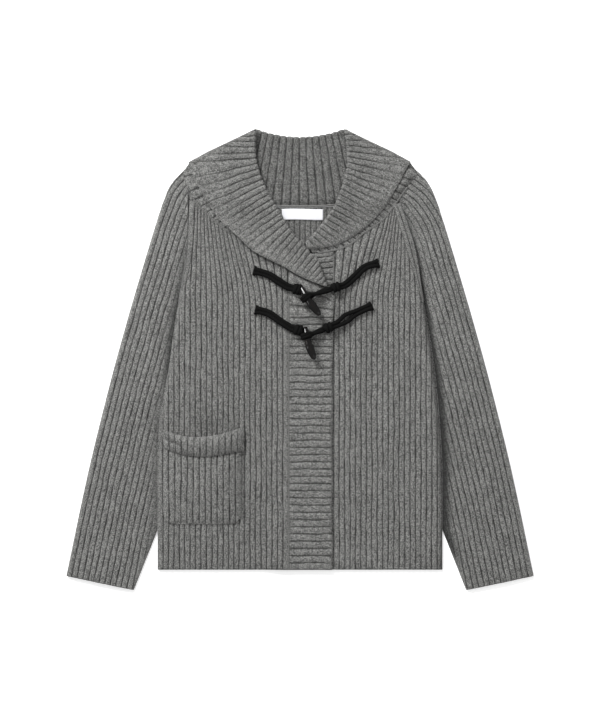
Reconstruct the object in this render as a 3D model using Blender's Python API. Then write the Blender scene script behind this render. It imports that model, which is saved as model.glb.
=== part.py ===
"""Shawl collar cardigan in a wide rib knit, laid flat on its back.

Sizes are in millimetres, as a maker would measure the laid-out garment, and are scaled to metres
when the meshes are made. X runs across the body (the wearer's right side has negative x), Y runs
from the hem to the neck and Z is the height above the surface. The origin is under the middle of
the garment. Every cloth piece is a closed wall: a ribbed outer skin over a plain inner one.
"""
import functools
import math

import bmesh
import bpy
import numpy as np

MM = 0.001

# Cloth
WALL = 2.4            # cloth between two grooves
RIB = 1.1             # how far a rib stands above its grooves
GAP = 0.4             # air between two layers
SEAM = 1.0            # air at a seam between two pieces that lie side by side
BODY_PITCH = 8.7      # one rib of the body and the sleeves
BAND_PITCH = 11.5     # one rib of the front bands
COLLAR_PITCH = 8.8    # one rib at the collar's fold
NECK_PITCH = 10.2     # one rib of the collar behind the neck
RIB_SHAPE = ((0.0, 0.0), (0.2, 1.0), (0.8, 1.0))   # share of a rib, share of its height

# Heights of the layers, from the surface up
BACK_Z = 0.0
FRONT_Z = BACK_Z + WALL + GAP
BAND_Z = FRONT_Z + WALL + RIB + 0.5
COLLAR_LOW_Z = 3.9                      # collar's stand where only the back lies under it
COLLAR_HIGH_Z = 2 * (WALL + 0.5) + RIB + 0.9   # collar's stand over the folded collar behind the neck
COLLAR_TIP_Z = 7.8                      # collar's stand where the front bands lie under it
FOLD_AIR = 1.0                          # air between the two layers of the folded collar
FOLD_R = WALL + FOLD_AIR / 2            # outer radius of the folded collar

HEM_Y = -335.0
BUST_Y = 86.0                           # above this the front's ribs fan towards the shoulder
UNDERARM_Y = 165.0
ARMHOLE_STEPS = (110.0, 140.0, 170.0, 190.0, 215.0, 240.0)
SIDE_ZONE = 172.0                       # beyond this the body's side edge cuts its ribs short

# Side of the body: height, distance of the edge on the wearer's right and left
SIDE = (
    # y       right   left
    (HEM_Y,   228.0,  228.0),
    (-272.0,  229.0,  228.5),
    (-176.0,  228.0,  227.5),
    (-91.0,   223.5,  222.5),
    (-21.0,   210.5,  215.5),
    (56.0,    200.0,  204.5),
    (128.0,   187.0,  191.5),
    (157.0,   182.5,  186.0),
    (190.0,   179.5,  181.0),
    (233.5,   179.0,  175.5),
    (300.0,   179.0,  175.5),
)
# Outer fold of a sleeve, from the neck to the cuff: height, distance from the centre line
SLEEVE_FOLD = (
    # y       x
    (293.0,  194.0),
    (281.5,  205.0),
    (269.0,  212.0),
    (243.0,  221.5),
    (217.5,  229.5),
    (192.0,  237.5),
    (141.0,  253.5),
    (64.0,   276.0),
    (-38.5,  304.0),
    (-179.0, 338.5),
    (-342.5, 373.0),
)
CUFF_WIDTH = 108.0
SLEEVE_RELEASE_Y = -272.0               # below this the sleeve leaves the body's side
SLEEVE_RELEASE_LEAN = 0.396             # how fast it leaves, across for each mm down
SLEEVE_CUT_ZONE = 48.0                  # beyond this the body's side cuts the sleeve's ribs short
SLEEVE_PUFF = 2.2

# How a front's ribs lean above the bust: place from the band (0) to the side (1), outward lean
RIB_LEAN = (
    # place  lean
    (0.00,   0.05),
    (0.15,   0.22),
    (0.33,   0.28),
    (0.52,   0.18),
    (0.70,   0.06),
    (0.89,  -0.06),
    (1.00,  -0.12),
)
LEAN_START = 30.0                       # length over which the lean sets in

# Front bands
BAND_RIGHT_INNER = -18.5                # seam of the upper band
BAND_RIGHT_EDGE = ((96.0, 56.0), (60.0, 53.0), (0.0, 51.5), (HEM_Y, 51.0))   # y, x
BAND_LEFT_EDGE = -4.0                   # edge of the lower band, under the upper one
BAND_LEFT_SEAM = 54.0
BAND_RISE = (-62.0, -24.0)              # across here the right front climbs onto the lower band

# Neckline seam of each half, from the front to the shoulder
NECKLINE_RIGHT = (
    # x       y
    (54.0,   106.0),
    (43.0,   113.5),
    (30.5,   110.5),
    (22.0,   111.5),
    (5.0,    118.5),
    (-11.0,  125.0),
    (-26.5,  135.0),
    (-54.5,  149.5),
    (-83.0,  177.5),
    (-102.5, 195.0),
    (-120.5, 207.0),
    (-152.0, 237.5),
    (-165.0, 251.0),
    (-175.5, 267.5),
    (-187.0, 293.0),
)
NECKLINE_LEFT = (
    # x       y
    (17.0,   171.0),
    (40.0,   173.5),
    (65.5,   179.0),
    (86.0,   189.5),
    (101.0,  203.0),
    (119.0,  214.5),
    (136.5,  229.0),
    (154.5,  253.0),
    (173.0,  279.0),
    (187.0,  293.0),
)
BACK_NECK = (
    # x       y
    (-187.0, 293.0),
    (-160.0, 278.5),
    (-120.0, 261.0),
    (-80.0,  249.5),
    (-40.0,  245.5),
    (0.0,    245.0),
    (40.0,   245.5),
    (80.0,   249.5),
    (120.0,  261.0),
    (160.0,  278.5),
    (187.0,  293.0),
)

# Collar: the fold, from the front end to the top corner, and the outer edge up to the shoulder
FOLD_RIGHT = (
    # x       y
    (43.0,   116.5),
    (38.5,   129.5),
    (32.0,   147.0),
    (26.0,   161.5),
    (16.0,   169.0),
    (5.0,    182.0),
    (-10.5,  200.0),
    (-25.5,  223.0),
    (-42.5,  251.0),
    (-56.5,  277.0),
    (-65.5,  300.0),
    (-71.0,  323.0),
    (-72.0,  345.5),
    (-70.5,  368.0),
)
EDGE_RIGHT = (
    (40.5,   116.5),
    (25.5,   122.5),
    (8.0,    129.5),
    (-9.5,   138.5),
    (-26.5,  149.0),
    (-44.0,  157.5),
    (-65.0,  168.0),
    (-78.5,  176.5),
    (-93.0,  190.5),
    (-113.5, 209.5),
    (-125.5, 220.0),
    (-148.0, 252.0),
    (-159.0, 272.0),
    (-170.5, 295.0),
    (-177.5, 315.0),
)
FOLD_LEFT = (
    (8.0,    185.0),
    (19.0,   197.0),
    (35.0,   215.5),
    (54.5,   243.5),
    (65.5,   269.0),
    (74.0,   299.0),
    (76.0,   317.0),
    (74.5,   344.0),
    (70.5,   368.0),
)
EDGE_LEFT = (
    (9.0,    178.5),
    (19.0,   177.0),
    (40.0,   179.5),
    (56.0,   183.0),
    (76.0,   192.0),
    (97.5,   206.5),
    (115.0,  221.0),
    (136.5,  245.5),
    (151.0,  270.5),
    (160.5,  287.0),
    (169.0,  304.5),
    (177.5,  315.0),
)
# Where each rib of the collar starts on the fold and ends on the outer edge, as shares of the two
# lines. An end share from 1 to 2 lies on the shoulder line, from the edge up to the top corner.
COLLAR_RIBS_RIGHT = (
    # fold   edge
    (0.000,  0.000),
    (0.120,  0.098),
    (0.176,  0.144),
    (0.281,  0.236),
    (0.364,  0.324),
    (0.460,  0.463),
    (0.637,  0.663),
    (0.787,  0.882),
    (0.815,  0.950),
    (0.847,  1.050),
    (0.878,  1.330),
    (0.913,  1.530),
    (0.953,  1.730),
    (1.000,  1.970),
)
COLLAR_RIBS_LEFT = (
    # fold   edge
    (0.000,  0.000),
    (0.079,  0.133),
    (0.200,  0.286),
    (0.368,  0.476),
    (0.503,  0.595),
    (0.658,  0.782),
    (0.738,  0.898),
    (0.793,  0.986),
    (0.840,  1.190),
    (0.895,  1.550),
    (0.947,  1.790),
    (1.000,  1.970),
)
SHOULDER_TIP = (185.0, 302.0)           # end of the collar's stand on the shoulder line
BACK_TOP = (
    # x       y
    (-70.5,  368.0),
    (-48.0,  361.0),
    (-24.0,  356.5),
    (0.0,    355.0),
    (24.0,   356.5),
    (48.0,   361.0),
    (70.5,   368.0),
)
BACK_FALL_INSET = 20.0                  # the hanging part's edge, inside the back neck seam

# Pocket on the right front
POCKET_LEFT = -218.5
POCKET_RIGHT = -93.0
POCKET_BOTTOM = -262.0
POCKET_CORNER = 20.0
POCKET_TOP = ((-218.5, -138.0), (-192.0, -146.0), (-160.0, -150.0), (-120.0, -146.0), (-93.0, -138.0))
POCKET_RIBS = 13
CUFF_TOP = ((-218.5, -110.0), (-192.0, -119.5), (-166.0, -123.0), (-128.0, -118.5), (-89.0, -106.5))
CUFF_BOTTOM = ((-218.5, -140.0), (-192.0, -149.5), (-157.0, -154.0), (-128.0, -151.5), (-89.0, -144.0))
POCKET_CUFF_LIFT = 2.6                  # the turned-down cuff bulges this far off the pocket

LABEL = (-29.5, 37.0, 224.5, 242.0)     # left, right, bottom, top
LABEL_THICK = 0.8

# Toggles and their doubled cords
STRAND = 5.4                            # thickness of one strand
TOGGLE_R = 7.2
TOGGLES = {
    # name: upper end, lower end
    "toggle_upper": ((-1.0, 120.0), (32.0, 71.0)),
    "toggle_lower": ((8.0, 53.0), (23.0, 0.5)),
}
LOOPS = {
    # name: centre x and y, half width, half height
    "loop_upper": (22.0, 99.0, 10.5, 10.5),
    "loop_lower": (20.5, 27.0, 9.0, 10.5),
}
CORDS = {
    # name: route from the sewn end to the toggle, x and y
    "cord_right_upper": ((-73.5, 142.5), (-51.0, 136.0), (-30.5, 123.0), (-19.0, 116.5), (-9.0, 112.0)),
    "cord_left_upper": ((125.0, 154.5), (104.0, 148.0), (86.5, 132.0), (72.0, 120.0), (56.0, 111.0), (37.5, 104.5)),
    "cord_right_lower": ((-71.0, 80.0), (-50.5, 74.5), (-31.0, 61.5), (-13.0, 50.5), (0.0, 44.5)),
    "cord_left_lower": ((114.5, 86.5), (96.0, 78.5), (80.0, 70.5), (62.5, 59.0), (48.0, 50.5), (33.5, 35.5)),
}

GREY = (0.165, 0.165, 0.158)
WHITE = (0.82, 0.82, 0.84)
BLACK = (0.012, 0.012, 0.012)


# ---------------------------------------------------------------- curves and small functions
class Line:
    """A smooth curve in the plane through a few points, measured along its length."""

    def __init__(self, points, smooth=True):
        points = [np.array(p[:2], float) for p in points]
        if smooth and len(points) > 2:
            ends = [2 * points[0] - points[1], *points, 2 * points[-1] - points[-2]]
            dense = [points[0]]
            for a, b, c, d in zip(ends, ends[1:], ends[2:], ends[3:]):
                for t in np.linspace(0, 1, 13)[1:]:
                    dense.append(0.5 * (2 * b + (c - a) * t + (2 * a - 5 * b + 4 * c - d) * t ** 2
                                        + (3 * b - a - 3 * c + d) * t ** 3))
            points = dense
        self.points = np.array(points)
        steps = np.linalg.norm(np.diff(self.points, axis=0), axis=1)
        self.along = np.concatenate([[0.0], np.cumsum(steps)])
        self.length = self.along[-1]
        self.rising = self.points[np.argsort(self.points[:, 0])]

    def at(self, share):
        place = share * self.length
        return np.array([np.interp(place, self.along, self.points[:, k]) for k in (0, 1)])

    def y_at(self, x):
        return float(np.interp(x, self.rising[:, 0], self.rising[:, 1]))


@functools.lru_cache
def table_line(table, across):
    return Line([(row[0], row[across]) for row in sorted(table)])


def column(table, across, value):
    """Read a table of (key, value, ...) rows: column `across` at the key `value`, eased between rows."""
    return table_line(table, across).y_at(value)


def ease(low, high, value):
    t = min(max((value - low) / (high - low), 0.0), 1.0)
    return t * t * (3 - 2 * t)


def rib_height(phase):
    share = phase - math.floor(phase)
    return min(1.0, share / RIB_SHAPE[1][0], (1.0 - share) / (1.0 - RIB_SHAPE[2][0]))


def rib_places(start, end, pitch, zero=None):
    """Every crest corner and groove from start to end, for ribs whose grooves lie at zero + n pitch."""
    zero = start if zero is None else zero
    first = math.floor((start - zero) / pitch) - 1
    last = math.ceil((end - zero) / pitch) + 1
    inner = [zero + (n + share) * pitch for n in range(first, last) for share, _ in RIB_SHAPE]
    near = 0.12 * pitch
    return [start, *[p for p in inner if start + near < p < end - near], end]


def thin_out(places, keep, every=6):
    """The places for a plain skin: one in every few, and all of those that `keep` names."""
    last = len(places) - 1
    return [p for n, p in enumerate(places) if n % every == 0 or n == last or keep(p)]


def even_places(start, end, spacing):
    count = max(2, round((end - start) / spacing) + 1)
    return list(np.linspace(start, end, count))


# ---------------------------------------------------------------- meshes
def weave(mesh, first, second):
    """Fill the strip between two lines of (place, vertex), both in rising places."""
    i = j = 0
    while i < len(first) - 1 or j < len(second) - 1:
        next_first = first[i + 1][0] if i < len(first) - 1 else math.inf
        next_second = second[j + 1][0] if j < len(second) - 1 else math.inf
        step_first = next_first <= next_second + 1e-6
        step_second = next_second <= next_first + 1e-6
        corners = [first[i][1]]
        if step_first:
            corners.append(first[i + 1][1])
        if step_second:
            corners.append(second[j + 1][1])
        corners.append(second[j][1])
        mesh.faces.new(corners)
        i += step_first
        j += step_second


def add_lines(mesh, lines):
    """Lines of (place, (x, y, z)) in millimetres become lines of (place, vertex)."""
    return [[(place, mesh.verts.new([c * MM for c in point])) for place, point in line] for line in lines]


def finish(name, mesh, collection, material):
    bmesh.ops.recalc_face_normals(mesh, faces=mesh.faces)
    data = bpy.data.meshes.new(name)
    mesh.to_mesh(data)
    mesh.free()
    data.materials.append(material)
    made = bpy.data.objects.new(name, data)
    collection.objects.link(made)
    return made


def wall_skins(shares, fine, coarse, line):
    """The ribbed outer skin and the plain inner one, which takes the ribs' places only at its rims."""
    outer = [(share, line(fine, share, "outer")) for share in shares]
    inner = [(share, line(fine if share in (shares[0], shares[-1]) else coarse, share, "inner"))
             for share in shares]
    return outer, inner


def numbered(lines):
    return [(n / (len(lines) - 1), line) for n, line in enumerate(lines)]


def closed_wall(name, outer, inner, collection, material):
    """A wall from an outer and an inner skin, each a list of (height share, line)."""
    mesh = bmesh.new()
    outer_lines = add_lines(mesh, [line for _, line in outer])
    inner_lines = add_lines(mesh, [line for _, line in inner])
    ring = outer_lines + inner_lines[::-1]
    for first, second in zip(ring, ring[1:] + ring[:1]):
        weave(mesh, first, second)
    for end, turned in ((0, True), (-1, False)):
        outer_end = [(share, line[end][1]) for (share, _), line in zip(outer, outer_lines)]
        inner_end = [(share, line[end][1]) for (share, _), line in zip(inner, inner_lines)]
        weave(mesh, *((inner_end, outer_end) if turned else (outer_end, inner_end)))
    return finish(name, mesh, collection, material)


# ---------------------------------------------------------------- body
def side_edge(side, y):
    return column(SIDE, 1 if side < 0 else 2, y)


def front_height(x):
    """Underside of the wearer's right front, which climbs onto the lower band."""
    return FRONT_Z + (BAND_Z - FRONT_Z) * ease(*BAND_RISE, x)


def front_x(side, band_x, place, y):
    """Where the rib that is at `place` across the bust lies at the height y."""
    width = side_edge(side, BUST_Y) - abs(band_x) * (1 if side * band_x > 0 else -1)
    share = min(max(side * (place - band_x) / width, 0.0), 1.0)
    lean = column(RIB_LEAN, 1, share)
    above = max(y - BUST_Y, 0.0)
    return place + side * lean * (above - LEAN_START * (1 - math.exp(-above / LEAN_START)))


def top_of(inside, low, high):
    """The height at which a rib, followed up from the hem, first leaves the piece."""
    steps = np.arange(low, high, 4.0)
    last = low
    for y in steps:
        if not inside(y):
            break
        last = y
    outside = last + 4.0
    for _ in range(12):
        middle = (last + outside) / 2
        if inside(middle):
            last = middle
        else:
            outside = middle
    return last


ROWS = (0.0, 0.012, 0.12, 0.24, 0.36, 0.55, 1.0)


def front(name, side, band_x, neckline, collection, material):
    """One front: ribs upright to the bust, then fanning to the shoulder, closed by the armhole and neck."""
    neck = Line(neckline)

    def inside(place, y):
        x = front_x(side, band_x, place, y)
        return side * x < side_edge(side, y) and y < neck.y_at(x) - SEAM

    @functools.lru_cache
    def top(place):
        return top_of(lambda y: inside(place, y), HEM_Y, 300.0)

    def line(place_list, share, skin):
        made = []
        for place in place_list:
            y = top(place) + (HEM_Y - top(place)) * share
            x = front_x(side, band_x, place, y)
            low = front_height(x) if side < 0 else FRONT_Z
            z = low
            if skin == "outer":
                edge = ease(0.0, 6.0, side_edge(side, y) - side * x) if y < UNDERARM_Y else 1.0
                z = low + WALL - 1.4 * (1 - edge) + RIB * rib_height((place - band_x) / BODY_PITCH) * edge
            made.append((side * place, (x, y, z)))
        return made if side > 0 else made[::-1]

    def place_cut_at(y):
        near, far = band_x, side * 240.0
        for _ in range(20):
            middle = (near + far) / 2
            near, far = (middle, far) if inside(middle, y) else (near, middle)
        return near

    outermost = side * (side_edge(side, HEM_Y) - 0.5)
    ends = sorted((band_x + side * GAP / 2, outermost))
    fine = sorted({*rib_places(*ends, BODY_PITCH, band_x), *[place_cut_at(y) for y in ARMHOLE_STEPS]})
    coarse = thin_out(fine, lambda place: abs(place) > SIDE_ZONE)
    return closed_wall(name, *wall_skins(ROWS, fine, coarse, line), collection, material)


def back(collection, material):
    """The back, plain under the fronts, with ribs where the open neck shows its inside."""
    neck = Line(BACK_NECK)
    window = 6.5 * BODY_PITCH
    right, left = (side_edge(side, HEM_Y) - 0.5 for side in (-1, 1))

    def flank(side, outermost):
        cuts = [side_edge(side, y) - 0.02 for y in ARMHOLE_STEPS]
        return sorted({*cuts, *np.arange(outermost, SIDE_ZONE, -3.5), *np.arange(SIDE_ZONE, window, -16.0)})

    fine = [*[-x for x in flank(-1, right)[::-1]], *rib_places(-window, window, BODY_PITCH), *flank(1, left)]
    coarse = thin_out(fine, lambda x: abs(x) > window + 1.0)

    def top(x):
        side = -1 if x < 0 else 1

        def inside(y):
            return abs(x) < side_edge(side, y) and y < neck.y_at(x) - SEAM
        return top_of(inside, HEM_Y, 300.0)

    tops = {x: top(x) for x in [*fine, *coarse]}
    shares = (0.0, 0.05, 0.10, 0.12, 0.40, 0.7, 1.0)

    def line(places, share, skin):
        made = []
        for x in places:
            y = tops[x] + (HEM_Y - tops[x]) * share
            z = BACK_Z
            if skin == "outer":
                seen = ease(window + 1, window - 2, abs(x)) * (share < 0.11)
                z = BACK_Z + WALL + 0.8 * RIB * rib_height((x + window) / BODY_PITCH) * seen
            made.append((x, (x, y, z)))
        return made

    return closed_wall("back", *wall_skins(shares, fine, coarse, line), collection, material)


def band_right(collection, material):
    """The upper front band, with its ribs across."""
    neck = Line(NECKLINE_RIGHT)

    def right(y):
        return column(BAND_RIGHT_EDGE, 1, y)

    fine = rib_places(HEM_Y, 104.0, BAND_PITCH)
    coarse = fine[::9] if fine[::9][-1] == fine[-1] else [*fine[::9], fine[-1]]

    def line(places, across, skin):
        made = []
        for place in places:
            left = BAND_RIGHT_INNER + GAP / 2
            x = left + (right(place) - left) * across
            reach = ease(40.0, 104.0, place)
            y = place + reach * (neck.y_at(x) - SEAM - 104.0)
            z = BAND_Z
            if skin == "outer":
                edge_share = 1 - ease(0.0, 3.0, right(place) - x)
                z += WALL + RIB * rib_height((place - HEM_Y) / BAND_PITCH) * (1 - edge_share) - 0.9 * edge_share
            made.append((place, (x, y, z)))
        return made

    shares = (0.0, 0.18, 0.36, 0.54, 0.965, 1.0)
    return closed_wall("band_right", *wall_skins(shares, fine, coarse, line), collection, material)


def band_left(collection, material):
    """The lower front band: ribbed where it shows between the collar's ends, plain below."""
    neck = Line(NECKLINE_LEFT)
    top = 168.0
    shown = 100.0
    fine = [*even_places(HEM_Y, shown - BAND_PITCH / 2, 60.0), *rib_places(shown, top, BAND_PITCH * 0.72)]
    coarse = [*even_places(HEM_Y, shown - BAND_PITCH / 2, 60.0), shown + 30, top]

    def line(places, across, skin):
        made = []
        for place in places:
            x = BAND_LEFT_EDGE + (BAND_LEFT_SEAM - GAP / 2 - BAND_LEFT_EDGE) * across
            y = place + ease(shown, top, place) * (neck.y_at(max(x, 17.0)) - SEAM - top)
            z = FRONT_Z
            if skin == "outer":
                z += WALL + RIB * rib_height((place - shown) / (BAND_PITCH * 0.72)) * (place > shown)
            made.append((place, (x, y, z)))
        return made

    shares = (0.0, 0.4, 1.0)
    return closed_wall("band_left", *wall_skins(shares, fine, coarse, line), collection, material)


# ---------------------------------------------------------------- sleeves
def sleeve(name, side, collection, material):
    """A sleeve laid flat: a tube open at the armhole and the cuff, its ribs along the outer fold."""
    fold = Line([(x, y) for y, x in SLEEVE_FOLD])
    half = WALL + GAP / 2

    def place_at(offset, along):
        step = 1.0
        a = fold.at(max(along - step, 0) / fold.length)
        b = fold.at(min(along + step, fold.length) / fold.length)
        forward = (b - a) / np.linalg.norm(b - a)
        inward = np.array([forward[1], -forward[0]])
        return fold.at(along / fold.length) + inward * offset

    neck_end = (NECKLINE_RIGHT if side < 0 else NECKLINE_LEFT)[-2:]

    def inner_limit(y):
        released = max(SLEEVE_RELEASE_Y - y, 0.0)
        beside_neck = np.interp(y, [row[1] for row in neck_end], [abs(row[0]) for row in neck_end], left=0.0)
        return max(side_edge(side, max(y, HEM_Y)), beside_neck) + SEAM + released * SLEEVE_RELEASE_LEAN

    def start(offset, inset):
        """Where the rib at this offset, followed up from the cuff, meets the body's side."""
        cut = 0.0
        for along in np.arange(fold.length, 0.0, -3.0):
            x, y = place_at(offset, along)
            if x < inner_limit(y) + inset:
                cut = along
                break
        clear = cut + 3.0
        for _ in range(10):
            middle = (cut + clear) / 2
            x, y = place_at(offset, middle)
            cut, clear = (middle, clear) if x < inner_limit(y) + inset else (cut, middle)
        return min(clear, fold.length - 1.0) if cut else 0.0

    edge_steps = [0.0, 0.9, half]
    fine = [*edge_steps, *rib_places(half, CUFF_WIDTH - 4.0, BODY_PITCH)[1:]]
    coarse = thin_out(fine, lambda offset: offset in (0.0, half) or offset > SLEEVE_CUT_ZONE)
    starts = {offset: start(offset, 0.0) for offset in fine}
    underarm = next(o for o in coarse if place_at(o, starts[o])[1] < UNDERARM_Y)
    # The lining of the tube lies a wall's thickness inside its folds.
    fine_lining, lining = ([*[o for o in places[:-1] if o == 0.0 or o >= half], places[-1] - WALL]
                           for places in (fine, coarse))
    lining_starts = {offset: start(offset, WALL if offset >= underarm else 0.0) for offset in fine_lining}
    rows = [0.0, 0.03, 0.08, 0.16, 0.27, 0.45, 0.7, 1.0]

    def point(offset, share, level):
        """A point of one of the four skins: level 1 is the top, -1 the bottom; 0.5 and -0.5 line them."""
        begin = (starts if abs(level) == 1 else lining_starts)[offset]
        along = begin + (fold.length - begin) * share
        x, y = place_at(offset, along)
        from_side = x - inner_limit(y)
        sunk = 1 - ease(0.0, 14.0, from_side) if y < UNDERARM_Y else 0.0
        puff = SLEEVE_PUFF * math.sin(math.pi * min(offset / CUFF_WIDTH, 1.0)) * ease(0.0, 0.2, share) * (1 - sunk)
        round_edge = math.sqrt(max(0.0, 1 - (1 - min(offset / half, 1.0)) ** 2))
        if level == 1:
            rib = rib_height((offset - half) / BODY_PITCH) * ease(half, 2 * half, offset) * (1 - sunk)
            z = half + half * round_edge + puff + RIB * rib - 1.2 * sunk
        elif level == -1:
            z = half - half * round_edge
        else:
            air = GAP / 2 * min(1.0, max(offset - 2.0, 0.0) / 3.0) + (puff if level > 0 else 0.0)
            z = half + math.copysign(max(air, 0.15), level)
            if offset == 0.0:
                x, y = place_at(WALL, along)
        return (side * x, y, z)

    mesh = bmesh.new()
    skins = {}
    for level in (1, 0.5, -0.5, -1):
        lines = []
        for share in rows:
            if abs(level) == 1:
                offsets = fine if level == 1 else coarse
            else:
                offsets = fine_lining if level == 0.5 and share in (0.0, 1.0) else lining
            lines.append([(o, point(o, share, level)) for o in offsets])
        skins[level] = add_lines(mesh, lines)
    # The outer fold joins the two outer skins, and the two linings: they share their first column.
    for upper, lower in ((1, -1), (0.5, -0.5)):
        for top_line, low_line in zip(skins[upper], skins[lower]):
            mesh.verts.remove(low_line[0][1])
            low_line[0] = (low_line[0][0], top_line[0][1])
    for level in skins:
        for first, second in zip(skins[level], skins[level][1:]):
            weave(mesh, first, second)
    # The cuff's rim, the armhole's rim and the fold along the underarm.
    cuff = {level: skins[level][-1] for level in skins}
    weave(mesh, cuff[1], cuff[0.5])
    weave(mesh, cuff[-1], cuff[-0.5])
    head = {level: [p for p in skins[level][0] if p[0] <= underarm] for level in skins}
    tail = {level: [p for p in skins[level][0] if p[0] >= underarm] for level in skins}
    weave(mesh, head[1], head[0.5])
    weave(mesh, head[-1], head[-0.5])
    weave(mesh, tail[1], tail[-1])
    weave(mesh, tail[0.5], tail[-0.5])
    order = (1, 0.5, -0.5, -1)
    mesh.faces.new([tail[level][0][1] for level in order])
    mesh.faces.new([cuff[level][-1][1] for level in order])
    # The last column closes the tube from the underarm fold to the cuff.
    last = {level: [(share, line[-1][1]) for share, line in zip(rows, skins[level])] for level in skins}
    weave(mesh, last[1], last[-1])
    weave(mesh, last[0.5], last[-0.5])
    return finish(name, mesh, collection, material)


# ---------------------------------------------------------------- collar
def shoulder_line(side):
    return Line(((side * 177.5, 315.0), (side * 70.5, 368.0)), smooth=False)


def collar_front(name, side, tables, collection, material):
    """Half of the collar in front: the stand rises from the neckline seam, folds over and falls outward."""
    fold_table, edge_table, neck_table, rib_table = tables
    fold, edge = Line(fold_table), Line(edge_table)
    start_x = edge_table[0][0]
    neck_rows = [row for row in neck_table if side * row[0] >= side * start_x - 6.0]
    neck = Line(neck_rows)
    shoulder = shoulder_line(side)
    tip = np.array((side * SHOULDER_TIP[0], SHOULDER_TIP[1]))
    inner_shoulder = Line((neck_rows[-1], tip, shoulder.at(0.03), shoulder.at(1.0)), smooth=False)
    back_neck = Line(BACK_NECK)
    count = fold.length / COLLAR_PITCH

    def end_share(place):
        return column(rib_table, 1, place)

    def edge_point(place):
        share = end_share(place)
        return edge.at(share) if share <= 1 else shoulder.at(share - 1)

    def seam_point(place):
        share = end_share(place)
        return neck.at(share) if share <= 1 else inner_shoulder.at(share - 1)

    def stand_height(x, y):
        over_back = ease(back_neck.y_at(x) - 32, back_neck.y_at(x) - 3, y)
        low = COLLAR_LOW_Z + (COLLAR_HIGH_Z - COLLAR_LOW_Z) * over_back
        if side > 0:
            return low
        return max(low, COLLAR_LOW_Z + (COLLAR_TIP_Z - COLLAR_LOW_Z) * ease(-78.0, -38.0, x))

    def point(place, part, share, skin):
        """Part is stand (share 0 at the seam), fold (an angle) or fall (share 1 at the edge)."""
        on_fold = fold.at(place)
        target = seam_point(place) if part == "stand" else edge_point(place)
        reach = np.linalg.norm(target - on_fold)
        heading = (target - on_fold) / max(reach, 1e-6)
        centre = on_fold + heading * min(FOLD_R, 0.4 * reach)
        height = stand_height(*centre)
        phase = place * count
        if part == "fold":
            radius = min(FOLD_R, 0.4 * reach) if skin == "A" else 0.2
            tall = FOLD_R if skin == "A" else FOLD_AIR / 2
            rib = 0.8 * RIB * rib_height(phase) if skin == "A" and share > 0 else 0.0
            x, y = centre - heading * (radius + rib) * math.cos(math.radians(share))
            return (x, y, height + FOLD_R + (tall + rib) * math.sin(math.radians(share)))
        x, y = centre + (target - centre) * share
        height = stand_height(x, y)
        if part == "stand":
            from_seam = (1 - share) * np.linalg.norm(target - centre)
            seam_z = front_height(x) if side < 0 else FRONT_Z
            on_seam = 1 - ease(1.0, 1.1, end_share(place))
            z = height + (seam_z - height) * (1 - ease(0.0, 9.0, from_seam)) * on_seam
            if skin == "B":
                z += WALL + 0.8 * RIB * rib_height(phase) * ease(0.94, 1.0, share) * (end_share(place) < 1)
            return (x, y, z)
        z = height + WALL + FOLD_AIR
        if skin == "A":
            at_edge = 1 - ease(0.0, 3.0, (1 - share) * np.linalg.norm(target - centre))
            z += WALL + RIB * rib_height(phase) * (1 - 0.5 * at_edge) - 0.9 * at_edge
        return (x, y, z)

    shares = [p / fold.length for p in rib_places(3.0, fold.length - 3.5, COLLAR_PITCH, 0.0)]
    coarse = shares[::6] if shares[::6][-1] == shares[-1] else [*shares[::6], shares[-1]]

    def line(places, part, share, skin):
        return [(p, point(p, part, share, skin)) for p in places]

    stand = (1.0, 0.93, 0.85, 0.5, 0.0)          # from the seam to the fold
    fall = (0.0, 0.3, 0.65, 0.975, 1.0)
    outer = [line(shares if s == 1.0 else coarse, "stand", s, "A") for s in stand]
    outer += [line(coarse, "fold", -45.0, "A"), line(shares, "fold", 0.0, "A"), line(shares, "fold", 50.0, "A")]
    outer += [line(shares, "fall", s, "A") for s in fall]
    inner = [line(shares if s > 0.9 else coarse, "stand", s, "B") for s in stand]
    inner += [line(coarse, "fold", 0.0, "B")]
    inner += [line(shares if s == 1.0 else coarse, "fall", s, "B") for s in (0.0, 0.5, 1.0)]
    return closed_wall(name, numbered(outer), numbered(inner), collection, material)


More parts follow.
